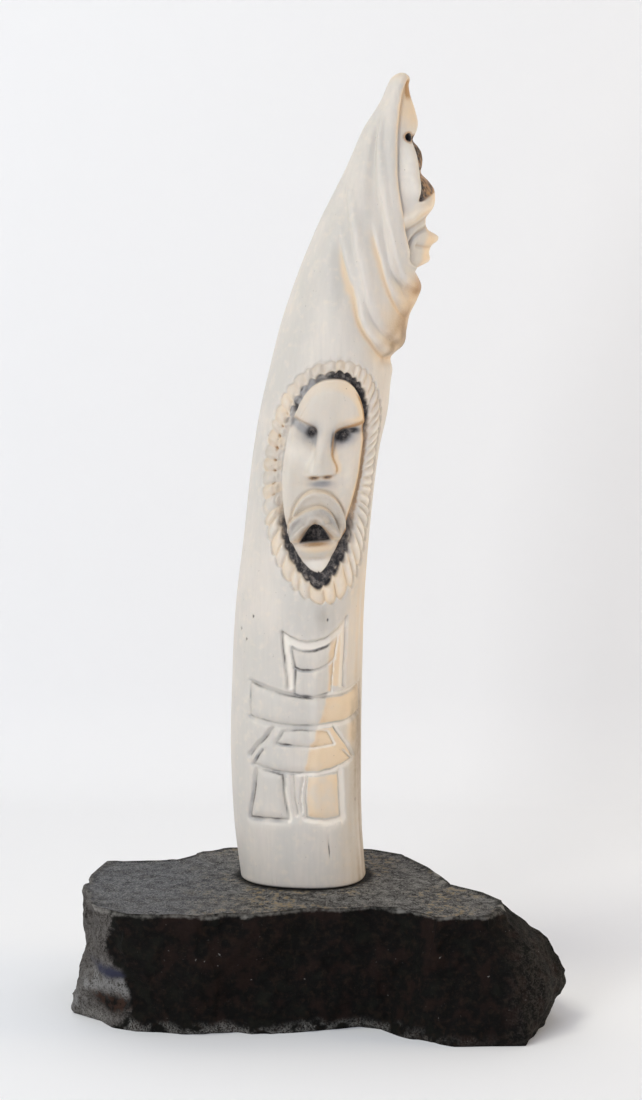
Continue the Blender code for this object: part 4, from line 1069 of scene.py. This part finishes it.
def hooded_head(side, up, half_width, middle, radius):
    """Relief and stains of the hooded face at the right and the folds that hang from it."""
    share = up / TUSK_HEIGHT
    turn = np.abs(side)
    reach = curve(np.clip(share, PROFILE[0][0], PROFILE_TOP), PROFILE, 1) * TUSK_HEIGHT
    reach = (reach - middle - half_width) * ramp(0.632, 0.645, share) * ramp(0.996, PROFILE_TOP, share)
    edge = curve(np.clip(share, HOOD_EDGE[0][0], HOOD_EDGE[-1][0]), HOOD_EDGE, 1)
    from_edge = np.radians(edge - turn) * radius
    inside = ramp(0.0, HEM_STEP, from_edge) * ramp(CHIN_PLACE - 0.003, CHIN_PLACE + 0.003, share)
    inside *= ramp(0.996, 0.988, share)
    face_stains, cloth_stains = no_stain(turn.shape), no_stain(turn.shape)
    face = face_in_hood(turn, share, edge, reach, radius, face_stains)
    cloth = cloth_folds(turn, share, up, from_edge, reach, cloth_stains)

    # The cloth is warm along the hood's edge and at the tip, and darker and browner at its foot
    cloudy = 0.75 + 0.45 * lumps(on_skin(side * DEGREE_WIDTH, up), 0.0045, 62)
    hem = ramp(0.638, 0.664, share) * ramp(0.755, 0.672, share)
    foot = ramp(0.64, 0.66, share) * ramp(0.77, 0.74, share)
    stain(cloth_stains, PEACH, 0.65 * bell(from_edge, 0.0002, 0.0009) * ramp(0.77, 0.80, share))
    stain(cloth_stains, PEACH, 0.45 * ramp(0.975, 0.999, share))
    stain(cloth_stains, PEACH, 0.8 * bell(turn, 15, 45) * foot)
    stain(cloth_stains, DIRT_AND_SHADE, 1.05 * cloudy * bell(turn, 0, 50) * hem)
    spots(cloth_stains, turn, share, FOOT_SPOTS)
    spots(cloth_stains, turn, share, CLOUDY_SPOTS, cloudy)
    return inside * face + (1 - inside) * cloth, inside * face_stains + (1 - inside) * cloth_stains


print("%d folds in the drapery" % len(FOLDS))

# %% [markdown]
# ## Cutting the tusk
#
# Now the relief is laid over the rings. A hand-cut surface is never quite even, so
# long shallow waves run over the skin and the core shows its pores. A few open pores
# and a short drying crack are cut last. The grid is far finer than it needs to be on
# plain skin, so a Decimate modifier thins it where the surface is flat.

# %% Pores, crack and creases
PORE_DEPTH = 0.0005
PORE_RADIUS = 0.0004
PORE_LENGTH = 1.6
CRACK_WIDTH = 0.0003

# Pores as shares of the height, from the front line and the foot
PORES = (
    (0.0232, 0.3393), (-0.0730, 0.3408), (-0.0939, 0.3234), (-0.0827, 0.3115), (0.0759, 0.1062),
    (0.0889, 0.0626),
)
CRACK = ((0.0251, 0.0618), (0.0262, 0.050), (0.0255, 0.038))


def pores_and_crack(across, up, stains):
    """Small pits, longer than wide, and one drying crack near the foot."""
    height = np.zeros(across.shape)
    for place_x, place_y in PORES:
        gap = np.hypot(across - place_x * TUSK_HEIGHT, (up - place_y * TUSK_HEIGHT) / PORE_LENGTH)
        height -= PORE_DEPTH * bell(gap, 0, PORE_RADIUS)
        stain(stains, CORE_AND_SHADE, 0.8 * bell(gap, 0, 1.125 * PORE_RADIUS))
    gap, along = line_distance(across, up, np.array(CRACK) * TUSK_HEIGHT)
    crack = bell(gap, 0, CRACK_WIDTH) * ramp(0, 0.2, along) * ramp(1, 0.8, along)
    stain(stains, CORE_AND_SHADE, 0.7 * crack)
    return height - PORE_DEPTH * crack


def evened(values, passes):
    """The values smoothed over the grid: each pass is the mean of three by three places."""
    for _ in range(passes):
        values = (np.roll(values, 1, 1) + values + np.roll(values, -1, 1)) / 3
        tall = np.pad(values, ((1, 1), (0, 0)), "edge")
        values = (tall[:-2] + tall[1:-1] + tall[2:]) / 3
    return values


print("%d pores and one crack" % len(PORES))

# %% Wear and painted shade of the whole tusk
CREASE_PASSES = 10
SHALLOW = 0.00004


def skin_wear_and_shade(stains, relief, plain, around, side):
    """Creases are darkened and raised edges lightened. Painted shade runs round the foot, and the right
    edge is warm and browned with painted shade low down.
    """
    hollow = evened(relief, CREASE_PASSES) - relief
    up = plain[:, :, 2]
    share = up / TUSK_HEIGHT
    away = np.abs(side)
    streaks = 0.7 * lumps(plain * [1, 1, 0.10], 0.0022, 5) + 0.6 * lumps(plain * [1, 1, 0.3], 0.0075, 6)
    low_edge = (0.8 + 0.5 * streaks) * ramp(0.50, 0.38, share)
    stain(stains, DIRT_AND_SHADE, 0.34 * ramp(SHALLOW, 0.0005, hollow))
    stain(stains, PALE_AND_HIGHLIGHT, 0.35 * ramp(SHALLOW, 0.0003, -hollow))
    # Painted shade round the tusk's foot
    stain(stains, CORE_AND_SHADE, 0.5 * ramp(0.0013, 0.0004, up))
    # The lower right edge: warm colour, and brown painted shade where it turns from the light
    stain(stains, PEACH, 0.75 * low_edge * bell(away, 0, 46))
    stain(stains, OCHRE, 0.34 * low_edge * bell(away, 6, 24))
    stain(stains, DIRT_AND_SHADE, low_edge * bell(away, 0, 40) * (0.3 + 0.7 * ramp(0.32, 0.20, share)))
    smudge = bell(around, 0.006, 0.014) * bell(share, 0.345, 0.022)
    stain(stains, DIRT_AND_SHADE, 0.5 * smudge * np.clip(0.3 + streaks, 0, 1))
    beside_figure = bell(around, 0.0225, 0.0055) * bell(share, 0.195, 0.022)
    stain(stains, PEACH, 0.95 * beside_figure)
    stain(stains, OCHRE, 0.22 * beside_figure)


print("creases found by %d passes of smoothing" % CREASE_PASSES)

# %% The carved surface
WAVE_HEIGHT = 0.00010
CORE_ROUGHNESS = 0.00022


def carved_tusk():
    """The carved surface, P = middle + section + relief square to it, ring by ring."""
    turn = crowded_angles(TUSK_COLUMNS)
    x, y, out_x, out_y = section(FRONT_ANGLE + turn)
    up, inset, scale = (value[:, None] for value in ring_heights())
    share = up / TUSK_HEIGHT
    middle = curve(share, TUSK_FORM, 1) * TUSK_HEIGHT
    half_width = curve(share, TUSK_FORM, 2) * TUSK_WIDTH
    half_depth = curve(share, TUSK_FORM, 3) * TUSK_DEPTH
    flat_x = half_width * x / REACH_X
    flat_y = half_depth * y / REACH_Y
    square_x = out_x / half_width * REACH_X
    square_y = out_y / half_depth * REACH_Y
    length = np.hypot(square_x, square_y)

    # Length round each ring from the front line
    step = np.hypot(np.diff(flat_x, axis=1), np.diff(flat_y, axis=1))
    around = np.concatenate([np.zeros_like(up), np.cumsum(step, axis=1)], axis=1)
    front = np.searchsorted(turn, 0.0)
    weight = -turn[front - 1] / (turn[front] - turn[front - 1])
    around -= (around[:, front - 1] * (1 - weight) + around[:, front] * weight)[:, None]

    # The carvings, laid over one another
    side = np.degrees(SIDE_ANGLE - FRONT_ANGLE - turn)
    side = np.broadcast_to((side + 180) % 360 - 180, around.shape)
    height = np.broadcast_to(up, around.shape)
    radius = (half_width + half_depth) / 2
    reliefs, masks = zip(
        ruff_and_mask(around, height),
        stacked_stones(around, height),
        hooded_head(side, height, half_width, middle, radius),
    )
    stains = np.maximum.reduce(masks)
    relief = sum(reliefs) + pores_and_crack(around, height, stains)
    plain = np.stack([middle + flat_x, flat_y + 0 * up, height], axis=2)
    skin_wear_and_shade(stains, relief, plain, around, side)
    waves = WAVE_HEIGHT * (lumps(plain * [1, 1, 0.45], 0.006, 3) - 1)
    pits = CORE_ROUGHNESS * (lumps(plain, 0.0009, 4) + 0.6 * lumps(plain, 0.0005, 8) - 1.0)
    relief = relief + waves * ramp(0, 0.001, -relief + 0.0008) + pits * stains[CORE_AND_SHADE]
    relief = relief * ramp(0.0, 3 * FOOT_ROUND, up) - inset
    rings = np.stack([
        FOOT_PLACE[0] + middle + scale * (flat_x + relief * square_x / length),
        FOOT_PLACE[1] + scale * (flat_y + relief * square_y / length),
        TUSK_LOW.z + height,
    ], axis=2)
    return rings, stains


rings, stains = carved_tusk()
print("carved surface of %d by %d points" % rings.shape[:2])

# %% The tusk's mesh
TUSK_TRIANGLES = 196000


def closed_mesh(name, rings, values):
    """A solid from rings of points that run from its underside up, closed at both ends."""
    rows, around = rings.shape[:2]
    index = np.arange(rows * around).reshape(rows, around)
    after = np.roll(index, -1, axis=1)
    sides = np.stack([index[:-1], after[:-1], after[1:], index[1:]], axis=2).reshape(-1, 4)
    poles = np.array([rings[0].mean(0), rings[-1].mean(0)])
    low, high = rows * around, rows * around + 1
    caps = np.concatenate([
        np.stack([after[0], index[0], np.full(around, low)], axis=1),
        np.stack([index[-1], after[-1], np.full(around, high)], axis=1),
    ])
    corners = np.concatenate([sides.ravel(), caps.ravel()])
    sizes = np.concatenate([np.full(len(sides), 4), np.full(len(caps), 3)])
    starts = np.concatenate([[0], np.cumsum(sizes)[:-1]])
    mesh = bpy.data.meshes.new(name)
    mesh.vertices.add(rows * around + 2)
    mesh.vertices.foreach_set("co", np.concatenate([rings.reshape(-1, 3), poles]).ravel())
    mesh.loops.add(len(corners))
    mesh.loops.foreach_set("vertex_index", corners.astype(np.int32))
    mesh.polygons.add(len(sizes))
    mesh.polygons.foreach_set("loop_start", starts.astype(np.int32))
    mesh.update(calc_edges=True)
    mesh.shade_smooth()
    for title, value in values.items():
        value = np.clip(value, 0, 1)
        ends = [value[0].mean(), value[-1].mean()]
        layer = mesh.attributes.new(title, "FLOAT", "POINT")
        layer.data.foreach_set("value", np.concatenate([value.ravel(), ends]))
    return placed(name, mesh)


tusk = closed_mesh("carved_tusk", rings, dict(zip(STAIN_NAMES, stains)))
thin = tusk.modifiers.new("thin", "DECIMATE")
thin.ratio = TUSK_TRIANGLES / (2 * len(tusk.data.polygons))
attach(tusk, "root")
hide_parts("tusk")
print("tusk grid of %d faces" % len(tusk.data.polygons))

# %% [markdown]
# ## The finish of the tusk
#
# Polished skin is a warm grey-white with a faint grain along the tusk. The masks from
# the carving mix in the other colours in order of depth: cream where a chisel has
# just bared the skin and as painted highlights on raised edges, peach where it is cut
# through, ochre in creases, cool grey as painted shade in hollows, brown for dirt and
# for painted shade in creases and along the lower right edge, and last the dark
# speckled core, which also darkens the tusk's foot and the figure's cuts as painted
# shade. Each mask is broken up by noise before it is used, so no stain has a clean
# edge. The stains could be painted by hand, but worked out from the cuts they stay on
# them when a size changes.

# %% Tusk material
SKIN = colour(218, 209, 198)
SKIN_GREY = colour(207, 201, 192)
SKIN_CREAM = colour(227, 215, 199)
SKIN_GRAIN = colour(196, 189, 181)
FRESH_CUT_AND_HIGHLIGHT = colour(241, 233, 221)
PEACH_LAYER = colour(236, 209, 173)
OCHRE_CREASE = colour(172, 124, 66)
COOL_SHADE_GREY = colour(146, 149, 155)
BROWN_DIRT_AND_SHADE = colour(126, 112, 94)
DARK_CORE_AND_SHADE = colour(50, 48, 50)
CORE_SPECK = colour(132, 124, 118)
OPEN_PORE = colour(112, 102, 92)


def tusk_finish():
    """Skin with grain and clouds, then the six masks of colour, painted shade and painted highlight, each
    with a broken edge.
    """
    material, shader, place = new_material("carved tusk")
    grain = place.noise(700.0, 4.0, 0.6, (1.0, 1.0, 0.10))
    clouds = place.noise(60.0, stretch=(1.0, 1.0, 0.5))
    speck = place.noise(2600.0, rough=0.6)
    patch = place.noise(330.0)
    skin = clouds.step(0.38, 0.62).colour(SKIN, SKIN_GREY)
    skin = (0.5 * patch.step(0.5, 0.75)).colour(skin, SKIN_CREAM)
    skin = (0.22 * grain.step(0.35, 0.7)).colour(skin, SKIN_GRAIN)

    broken = 0.6 + 0.8 * patch
    pale, peach, ochre, cool_shade, dirt_and_shade, core_and_shade = (place.attribute(name) for name in STAIN_NAMES)
    dirt_and_shade = dirt_and_shade * (0.45 + 0.7 * patch + 0.4 * speck)
    core_and_shade = (core_and_shade * (0.7 + 0.6 * speck)).step(0.12, 0.75)
    paint = (0.85 * (peach * broken).step(0.05, 0.95)).colour(skin, PEACH_LAYER)
    # Cream for bared skin and for painted highlights
    paint = (0.8 * (pale * broken).step(0.1, 0.9)).colour(paint, FRESH_CUT_AND_HIGHLIGHT)
    # Cool grey painted shade
    paint = (0.75 * (cool_shade * broken).step(0.1, 0.95)).colour(paint, COOL_SHADE_GREY)
    paint = (0.85 * (ochre * (0.5 + speck)).step(0.08, 0.95)).colour(paint, OCHRE_CREASE)
    # Brown for dirt and for painted shade
    paint = (0.8 * dirt_and_shade.step(0.05, 1.0)).colour(paint, BROWN_DIRT_AND_SHADE)
    lumpy = 0.6 * place.noise(560.0, 2.0) + 0.4 * speck
    # The dark core, which also paints shade at the tusk's foot and in the figure's cuts
    paint = core_and_shade.colour(paint, lumpy.step(0.44, 0.68).colour(DARK_CORE_AND_SHADE, CORE_SPECK))
    pores = place.noise(1500.0, 1.0, stretch=(1.0, 1.0, 0.6)).step(0.76, 0.82)
    paint = (0.6 * pores).colour(paint, OPEN_PORE)
    height = 0.25 * grain + 0.2 * patch - 0.6 * pores + core_and_shade * (1.5 * speck)
    plug(shader, {
        "Base Color": paint,
        "Roughness": 0.42 + 0.15 * patch + 0.4 * core_and_shade,
        "Normal": height.bump(0.35, 0.0003),
        "Subsurface Weight": 0.12,
        "Subsurface Radius": (1.0, 0.6, 0.35),
        "Subsurface Scale": 0.0015,
    })
    return material


tusk.data.materials.append(tusk_finish())
print("tusk finished with %d stains" % len(STAIN_NAMES))

# %% [markdown]
# ## The stone
#
# A broken block has two kinds of surface: the flat, granular bed at its top and
# underside, and the struck sides, where flakes have left facets. A boulder could be
# sculpted from a cube, but the flakes are what make it read as broken stone, so the
# block starts as a loft between a top and a bottom outline, and each flake is a plane
# that presses back whatever stands beyond it.

# %% Form of the stone
RIM_ROUND = 0.0016
CHIP_DEPTH = 0.0022
CHIP_LIMIT = 0.00352
CHIP_REACH = 0.024
STONE_SEED = 11
STONE_COLUMNS = 76
BELLY_PLACE = 0.44
BELLY_REACH = 0.5
BLOCK_LEVELS = (0.0, 0.035, 0.16, 0.3, 0.42, 0.56, 0.7, 0.85, 0.965, 1.0)
CHIP_COUNT = 46
SPARED_EDGE = 0.006

# Corners at the top and at the underside, as shares of the length and depth from
# their middles, and how far each swells out between the two
BLOCK_CORNERS = (
    ((-0.458, 0.085), (-0.474, 0.100), 0.001), ((-0.466, -0.046), (-0.486, -0.040), -0.002),
    ((-0.470, -0.225), (-0.489, -0.165), -0.002), ((-0.430, -0.296), (-0.420, -0.292), 0.002),
    ((-0.366, -0.362), (-0.348, -0.360), 0.001), ((-0.243, -0.394), (-0.213, -0.392), 0.001),
    ((-0.114, -0.372), (-0.115, -0.392), 0.001), ((-0.014, -0.310), (-0.034, -0.373), 0.001),
    ((0.098, -0.318), (0.085, -0.322), 0.002), ((0.194, -0.318), (0.149, -0.355), 0.002),
    ((0.250, -0.405), (0.193, -0.420), 0.001), ((0.311, -0.413), (0.285, -0.500), 0.000),
    ((0.362, -0.416), (0.425, -0.487), 0.002), ((0.382, -0.310), (0.448, -0.398), 0.010),
    ((0.392, -0.207), (0.436, -0.170), 0.020), ((0.366, -0.138), (0.440, -0.020), 0.012),
    ((0.298, -0.034), (0.440, 0.180), 0.003), ((0.253, 0.183), (0.361, 0.300), 0.002),
    ((0.200, 0.346), (0.243, 0.433), 0.001), ((0.103, 0.449), (0.094, 0.500), 0.000),
    ((-0.176, 0.437), (-0.174, 0.483), 0.000), ((-0.232, 0.384), (-0.260, 0.420), 0.000),
    ((-0.284, 0.282), (-0.324, 0.370), 0.001), ((-0.432, 0.258), (-0.450, 0.283), 0.001),
)


def block_outlines(columns):
    """The stone's top and bottom outlines and its swelling, read evenly round it."""
    corners = len(BLOCK_CORNERS)
    size = np.array([STONE_LENGTH, STONE_DEPTH])
    top, low, belly = (np.array([corner[i] for corner in BLOCK_CORNERS]) for i in range(3))
    top, low = top * size, low * size
    step = np.linalg.norm(np.roll(top + low, -1, 0) - top - low, axis=1)
    place = np.concatenate([[0.0], np.cumsum(step)]) / step.sum() * corners
    at = np.sort(np.concatenate([place[:-1], np.linspace(0, corners, columns - corners, endpoint=False)]))
    closed = np.concatenate([np.arange(corners), [0]])

    def read(values):
        """One column of values, read between the corners."""
        return np.interp(at, place, values[closed])

    top, low = (np.stack([read(plan[:, 0]), read(plan[:, 1])], axis=1) for plan in (top, low))
    return top, low, read(belly)


def struck_off(points, start, facing, depth, limit, reach, flat):
    """How far points stand beyond a plane set a depth behind the start, fading at its reach."""
    away = points - start
    near = ramp(1.0, flat, np.linalg.norm(away, axis=2) / reach)
    return np.clip(away @ facing + depth, 0, limit) * near


def struck_block():
    """The block's side, ring by ring: swelling, rounded at both rims and chipped flat."""
    top, low, belly = block_outlines(STONE_COLUMNS)
    level = np.array(BLOCK_LEVELS)[:, None]
    plan = low + (top - low) * level[:, :, None]
    out = plan / np.linalg.norm(plan, axis=2, keepdims=True)
    swell = belly * np.clip(1 - ((level - BELLY_PLACE) / BELLY_REACH) ** 2, 0, 1)
    rim = np.minimum(level, 1 - level) * STONE_HEIGHT
    inset = RIM_ROUND * np.clip(1 - rim / RIM_ROUND, 0, 1) ** 2
    plan = plan + out * (swell - inset)[:, :, None]
    low, high = plan.min((0, 1)), plan.max((0, 1))
    half_size = np.array([STONE_LENGTH, STONE_DEPTH]) / 2
    plan = (plan - (low + high) / 2) * 2 * half_size / (high - low)
    height = np.broadcast_to(level * STONE_HEIGHT, plan.shape[:2])
    points = np.concatenate([plan, height[:, :, None]], axis=2)

    # Flat chips struck off the side, which spare its outermost corners
    rng = np.random.default_rng(STONE_SEED)
    for _ in range(CHIP_COUNT):
        row = rng.integers(1, len(BLOCK_LEVELS) - 1)
        column = rng.integers(STONE_COLUMNS)
        facing = np.append(out[row, column], rng.uniform(-0.7, 0.7))
        facing[:2] += rng.uniform(-0.3, 0.3, 2)
        facing /= np.linalg.norm(facing)
        depth = CHIP_DEPTH * rng.uniform(0.3, 1.0)
        reach = CHIP_REACH * rng.uniform(0.5, 1.0)
        beyond = struck_off(points, points[row, column], facing, depth, CHIP_LIMIT, reach, 0.6)
        beyond *= ramp(0.0, SPARED_EDGE, (half_size - np.abs(points[:, :, :2])).min(2))
        points[:, :, :2] -= beyond[:, :, None] * facing[:2]
    return points


print("%d corners round the stone, %d chips off it" % (len(BLOCK_CORNERS), CHIP_COUNT))

# %% Finer flakes
SIDE_ROWS = 66
FINE_COLUMNS = 560
FLAKE_COUNT = 260
FLAKE_DEPTH = 0.0010
FLAKE_REACH = 0.011
SIDE_GRAIN = 0.0007
FLANK_PLACE = 0.0765


def between(values, places):
    """Rows of the array read between its own rows, at places given in rows."""
    low = np.clip(places.astype(int), 0, len(values) - 2)
    t = (places - low).reshape(-1, *([1] * (values.ndim - 1)))
    return values[low] * (1 - t) + values[low + 1] * t


def fine_side():
    """The struck side on a finer grid, with small flakes and a rough grain, and a mark
    for the left flank, which is worn grey beyond a wandering border."""
    levels = np.array(BLOCK_LEVELS)
    rows = np.interp(np.linspace(0, 1, SIDE_ROWS), levels, np.arange(len(levels)))
    points = between(struck_block(), rows)
    ring = np.concatenate([points, points[:, :1]], axis=1).swapaxes(0, 1)
    step = np.linalg.norm(np.diff(ring, axis=0), axis=2).mean(1)
    place = np.concatenate([[0.0], np.cumsum(step)])
    evenly = np.linspace(0, place[-1], FINE_COLUMNS, endpoint=False)
    columns = np.interp(evenly, place, np.arange(len(place)))
    points = between(ring, columns).swapaxes(0, 1)
    x, y, z = np.moveaxis(points, 2, 0)
    out = np.stack([np.gradient(y, axis=1), -np.gradient(x, axis=1), 0 * z], axis=2)
    out /= np.linalg.norm(out, axis=2, keepdims=True)
    out *= np.sign((out * points).sum(2).mean())
    rng = np.random.default_rng(STONE_SEED + 1)
    dent = np.zeros(z.shape)
    for _ in range(FLAKE_COUNT):
        row, column = rng.integers(SIDE_ROWS), rng.integers(FINE_COLUMNS)
        facing = out[row, column] + rng.normal(0, 0.35, 3)
        facing /= np.linalg.norm(facing)
        reach = FLAKE_REACH * rng.uniform(0.4, 1.0)
        depth = FLAKE_DEPTH * rng.uniform(0.2, 1.0)
        beyond = struck_off(points, points[row, column], facing, depth, FLAKE_DEPTH, reach, 0.75)
        dent = np.maximum(dent, beyond)
    grain = 0.6 - 0.6 * lumps(points, 0.0042, 21) - 0.4 * lumps(points, 0.0017, 22)
    dent += SIDE_GRAIN * grain * ramp(0, 0.002, np.minimum(z, STONE_HEIGHT - z))
    points -= out * dent[:, :, None]
    border = 0.0070 * bell(z, 0.013, 0.010) - 0.0015 * bell(z, 0.033, 0.006) - FLANK_PLACE
    border += 0.0022 * lumps(points, 0.006, 23) + 0.0016 * lumps(points, 0.0022, 29)
    return points, ramp(0.0030, -0.0045, x - border)


print("side of %d rows by %d columns, %d flakes" % (SIDE_ROWS, FINE_COLUMNS, FLAKE_COUNT))

# %% The two beds and the stone's mesh
BED_RINGS = 52
UNDER_RINGS = 5
BED_FILL = 0.985
BED_GRAIN = 0.0005
FOOT_CLEAR = 0.032
PATCH_PLACE = -0.0780


def bed(rim, rings, drop):
    """A flat bed filled from its rim inwards, ring by ring, dented by the drop."""
    share = BED_FILL * np.linspace(0, 1, rings + 1)[1:, None, None] ** 0.85
    flat = rim[None] * (1 - share) + rim.mean(0) * share
    flat[:, :, 2] -= drop(flat)
    return flat


def top_dents(flat):
    """Granular dents of the top, only inwards, and none under the foot."""
    foot = np.hypot(flat[:, :, 0] - FOOT_PLACE[0], flat[:, :, 1] - FOOT_PLACE[1])
    rough = 0.5 + 0.25 * lumps(flat, 0.009, 31) + 0.15 * lumps(flat, 0.0032, 32)
    rough += 0.10 * lumps(flat, 0.0014, 33)
    return 2 * BED_GRAIN * rough * ramp(FOOT_CLEAR - 0.004, FOOT_CLEAR + 0.004, foot)


def banded(under, side, over):
    """Values of the underside, the struck side and the top, joined for all the rings."""
    parts = ((UNDER_RINGS, under), (SIDE_ROWS, side), (BED_RINGS, over))
    return np.concatenate([np.broadcast_to(value, (rows, FINE_COLUMNS)) for rows, value in parts])


def rough_stone():
    """Underside, struck side and top as one run of rings, sized to the solid's box."""
    side, flank = fine_side()
    under = bed(side[0], UNDER_RINGS, lambda flat: 0.0)[::-1]
    over = bed(side[-1], BED_RINGS, top_dents)
    rings = np.concatenate([under, side, over])
    low, high = rings[:, :, :2].min((0, 1)), rings[:, :, :2].max((0, 1))
    span = np.array([STONE_LENGTH, STONE_DEPTH])
    rings[:, :, :2] = (rings[:, :, :2] - (low + high) / 2) * span / (high - low)

    # Marks for the finish. The painted shadow of the tusk's foot lies on the top, and the patches on the
    # flank
    height = side[:, :, 2]
    foot = ramp(0.0052, 0.0012, height + 0.0016 * lumps(side, 0.005, 25))
    inwards = np.arange(1, BED_RINGS + 1)[:, None]
    rim = banded(0.0, bell(height, STONE_HEIGHT - 0.0006, 0.0016), bell(inwards, 0, 1.0))
    off_x = (over[:, :, 0] - FOOT_PLACE[0]) / TUSK_WIDTH
    off_y = (over[:, :, 1] - FOOT_PLACE[1]) / TUSK_DEPTH
    x = rings[:, :, 0] + 0.0012 * lumps(rings, 0.004, 27)
    z = rings[:, :, 2] + 0.0012 * lumps(rings, 0.004, 28)
    return rings, {
        "top": banded(0.0, 0.0, 1.0),
        "rim": rim * np.clip(2.2 * lumps(rings, 0.0055, 24) - 0.4, 0.42, 1),
        "band": banded(0.0, foot, 0.0),
        "flank": banded(0.0, flank, 0.0),
        "shade": banded(0.0, 0.0, ramp(0.56, 0.50, np.hypot(off_x, off_y))),
        "worn": bell(z, 0.0185 - 70 * (x + 0.080) ** 2, 0.0050),
        "blue": bell(x, PATCH_PLACE, 0.0085) * bell(z + 0.15 * (x - PATCH_PLACE), 0.0222, 0.0028),
        "rust": bell(x, -0.0775, 0.0100) * bell(z, 0.0096, 0.0046),
    }


rings, marks = rough_stone()
stone = closed_mesh("rough_stone", rings, marks)
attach(stone, "root")
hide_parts("stone_base")
print("stone grid of %d faces" % len(stone.data.polygons))

# %% [markdown]
# ## The finish of the stone
#
# The top bed is mid grey and granular, smoother and bluer toward the left, with
# yellow-brown specks in front of the tusk and at its right, and a shadow painted round
# the tusk's foot. The struck front is nearly black and dull, its top rim is bruised
# here and there, and dust clings to the foot. The left end is worn grey, with a pale, a
# bluish and a rusty patch. One picture of the stone could be laid over it, but noise at
# several sizes never repeats or stretches.

# %% Stone material
BED_GREY = colour(112, 110, 107)
BED_BLUE = colour(96, 98, 104)
BED_DARK = colour(42, 40, 39)
BED_LIGHT = colour(160, 157, 151)
BED_RUST = colour(144, 124, 88)
SIDE_BLACK = colour(11, 10, 9)
SIDE_BROWN = colour(32, 24, 18)
SIDE_RED = colour(34, 22, 18)
SIDE_GREEN = colour(21, 22, 17)
SIDE_GREY = colour(66, 63, 59)
FLANK_DARK = colour(50, 46, 43)
FLANK_GREY = colour(104, 100, 96)
FLANK_WORN = colour(130, 129, 127)
FLANK_BLUE = colour(50, 51, 66)
FLANK_RUST = colour(52, 37, 30)
BRUISED = colour(140, 137, 131)
DUST = colour(140, 138, 133)


def stone_finish():
    """Grey bed, black-brown sides and bruised rims, with grain at four sizes."""
    material, shader, place = new_material("dark stone")
    fine = place.noise(1500.0, 4.0, 0.65)
    coarse = place.noise(420.0, 4.0, 0.6)
    blotched = place.noise(150.0)
    broad = place.noise(38.0)
    grit = 0.4 * coarse + 0.6 * fine
    tinted = 0.4 * broad + 0.6 * blotched
    across = place.node("ShaderNodeSeparateXYZ", {}, {0: place})
    left = across.step(-0.02, -0.06)
    right = across.step(0.066, 0.086)

    top = coarse.step(0.33, 0.62).colour(BED_DARK, BED_GREY)
    top = (0.5 * left).colour(top, BED_BLUE)
    top = (0.5 * blotched.step(0.52, 0.38)).colour(top, BED_DARK)
    top = (0.6 * fine.step(0.5, 0.68)).colour(top, BED_LIGHT)
    top = (0.8 * fine.step(0.45, 0.36)).colour(top, BED_DARK)
    rusty = (coarse.step(0.52, 0.62) * broad.step(0.42, 0.55)) * (1.0 - left)
    top = (0.6 * rusty).colour(top, BED_RUST)

    flank = grit.step(0.36, 0.64).colour(FLANK_DARK, FLANK_GREY)
    worn = place.attribute("worn") * grit.step(0.36, 0.56) * blotched.step(0.34, 0.52)
    flank = (0.85 * worn).colour(flank, FLANK_WORN)
    flank = (place.attribute("blue") * (0.5 + coarse)).step(0.1, 0.9).colour(flank, FLANK_BLUE)
    rust = coarse.step(0.42, 0.58).colour(SIDE_BLACK, FLANK_RUST)
    flank = (place.attribute("rust") * (0.2 + 1.6 * coarse)).step(0.2, 0.8).colour(flank, rust)

    side = coarse.step(0.45, 0.75).colour(SIDE_BLACK, SIDE_BROWN)
    side = (0.6 * tinted.step(0.50, 0.62)).colour(side, SIDE_RED)
    side = (0.6 * tinted.step(0.48, 0.36)).colour(side, SIDE_GREEN)
    side = (0.6 * (right * grit.step(0.43, 0.62))).colour(side, SIDE_GREY)
    side = (0.3 * fine.step(0.60, 0.75)).colour(side, SIDE_GREY)
    specks = place.noise(620.0, 2.0).step(0.70, 0.80) * tinted.step(0.50, 0.60)
    side = (0.6 * specks).colour(side, DUST)
    chipped = (place.attribute("flank") * (0.1 + 1.2 * coarse + 0.6 * fine)).step(0.25, 0.85)
    side = chipped.colour(side, flank)

    paint = place.attribute("top").colour(side, top)
    bruise = (place.attribute("rim") * (0.3 + 1.4 * coarse)).step(0.25, 0.7)
    paint = (0.75 * bruise).colour(paint, BRUISED)
    # A painted shadow of the tusk's foot on the top bed
    paint = (0.85 * place.attribute("shade")).colour(paint, SIDE_BLACK)
    dusty = place.attribute("band") * fine.step(0.36, 0.64) * blotched.step(0.42, 0.56)
    paint = (dusty * across.step(0.085, -0.02) * 0.6).colour(paint, DUST)
    plug(shader, {
        "Base Color": paint,
        "Roughness": 0.7 + 0.25 * fine,
        "Normal": (0.6 * coarse + 0.5 * fine).bump(0.6, 0.0008),
        "Specular IOR Level": 0.1,
    })
    return material


stone.data.materials.append(stone_finish())
print("stone finished")
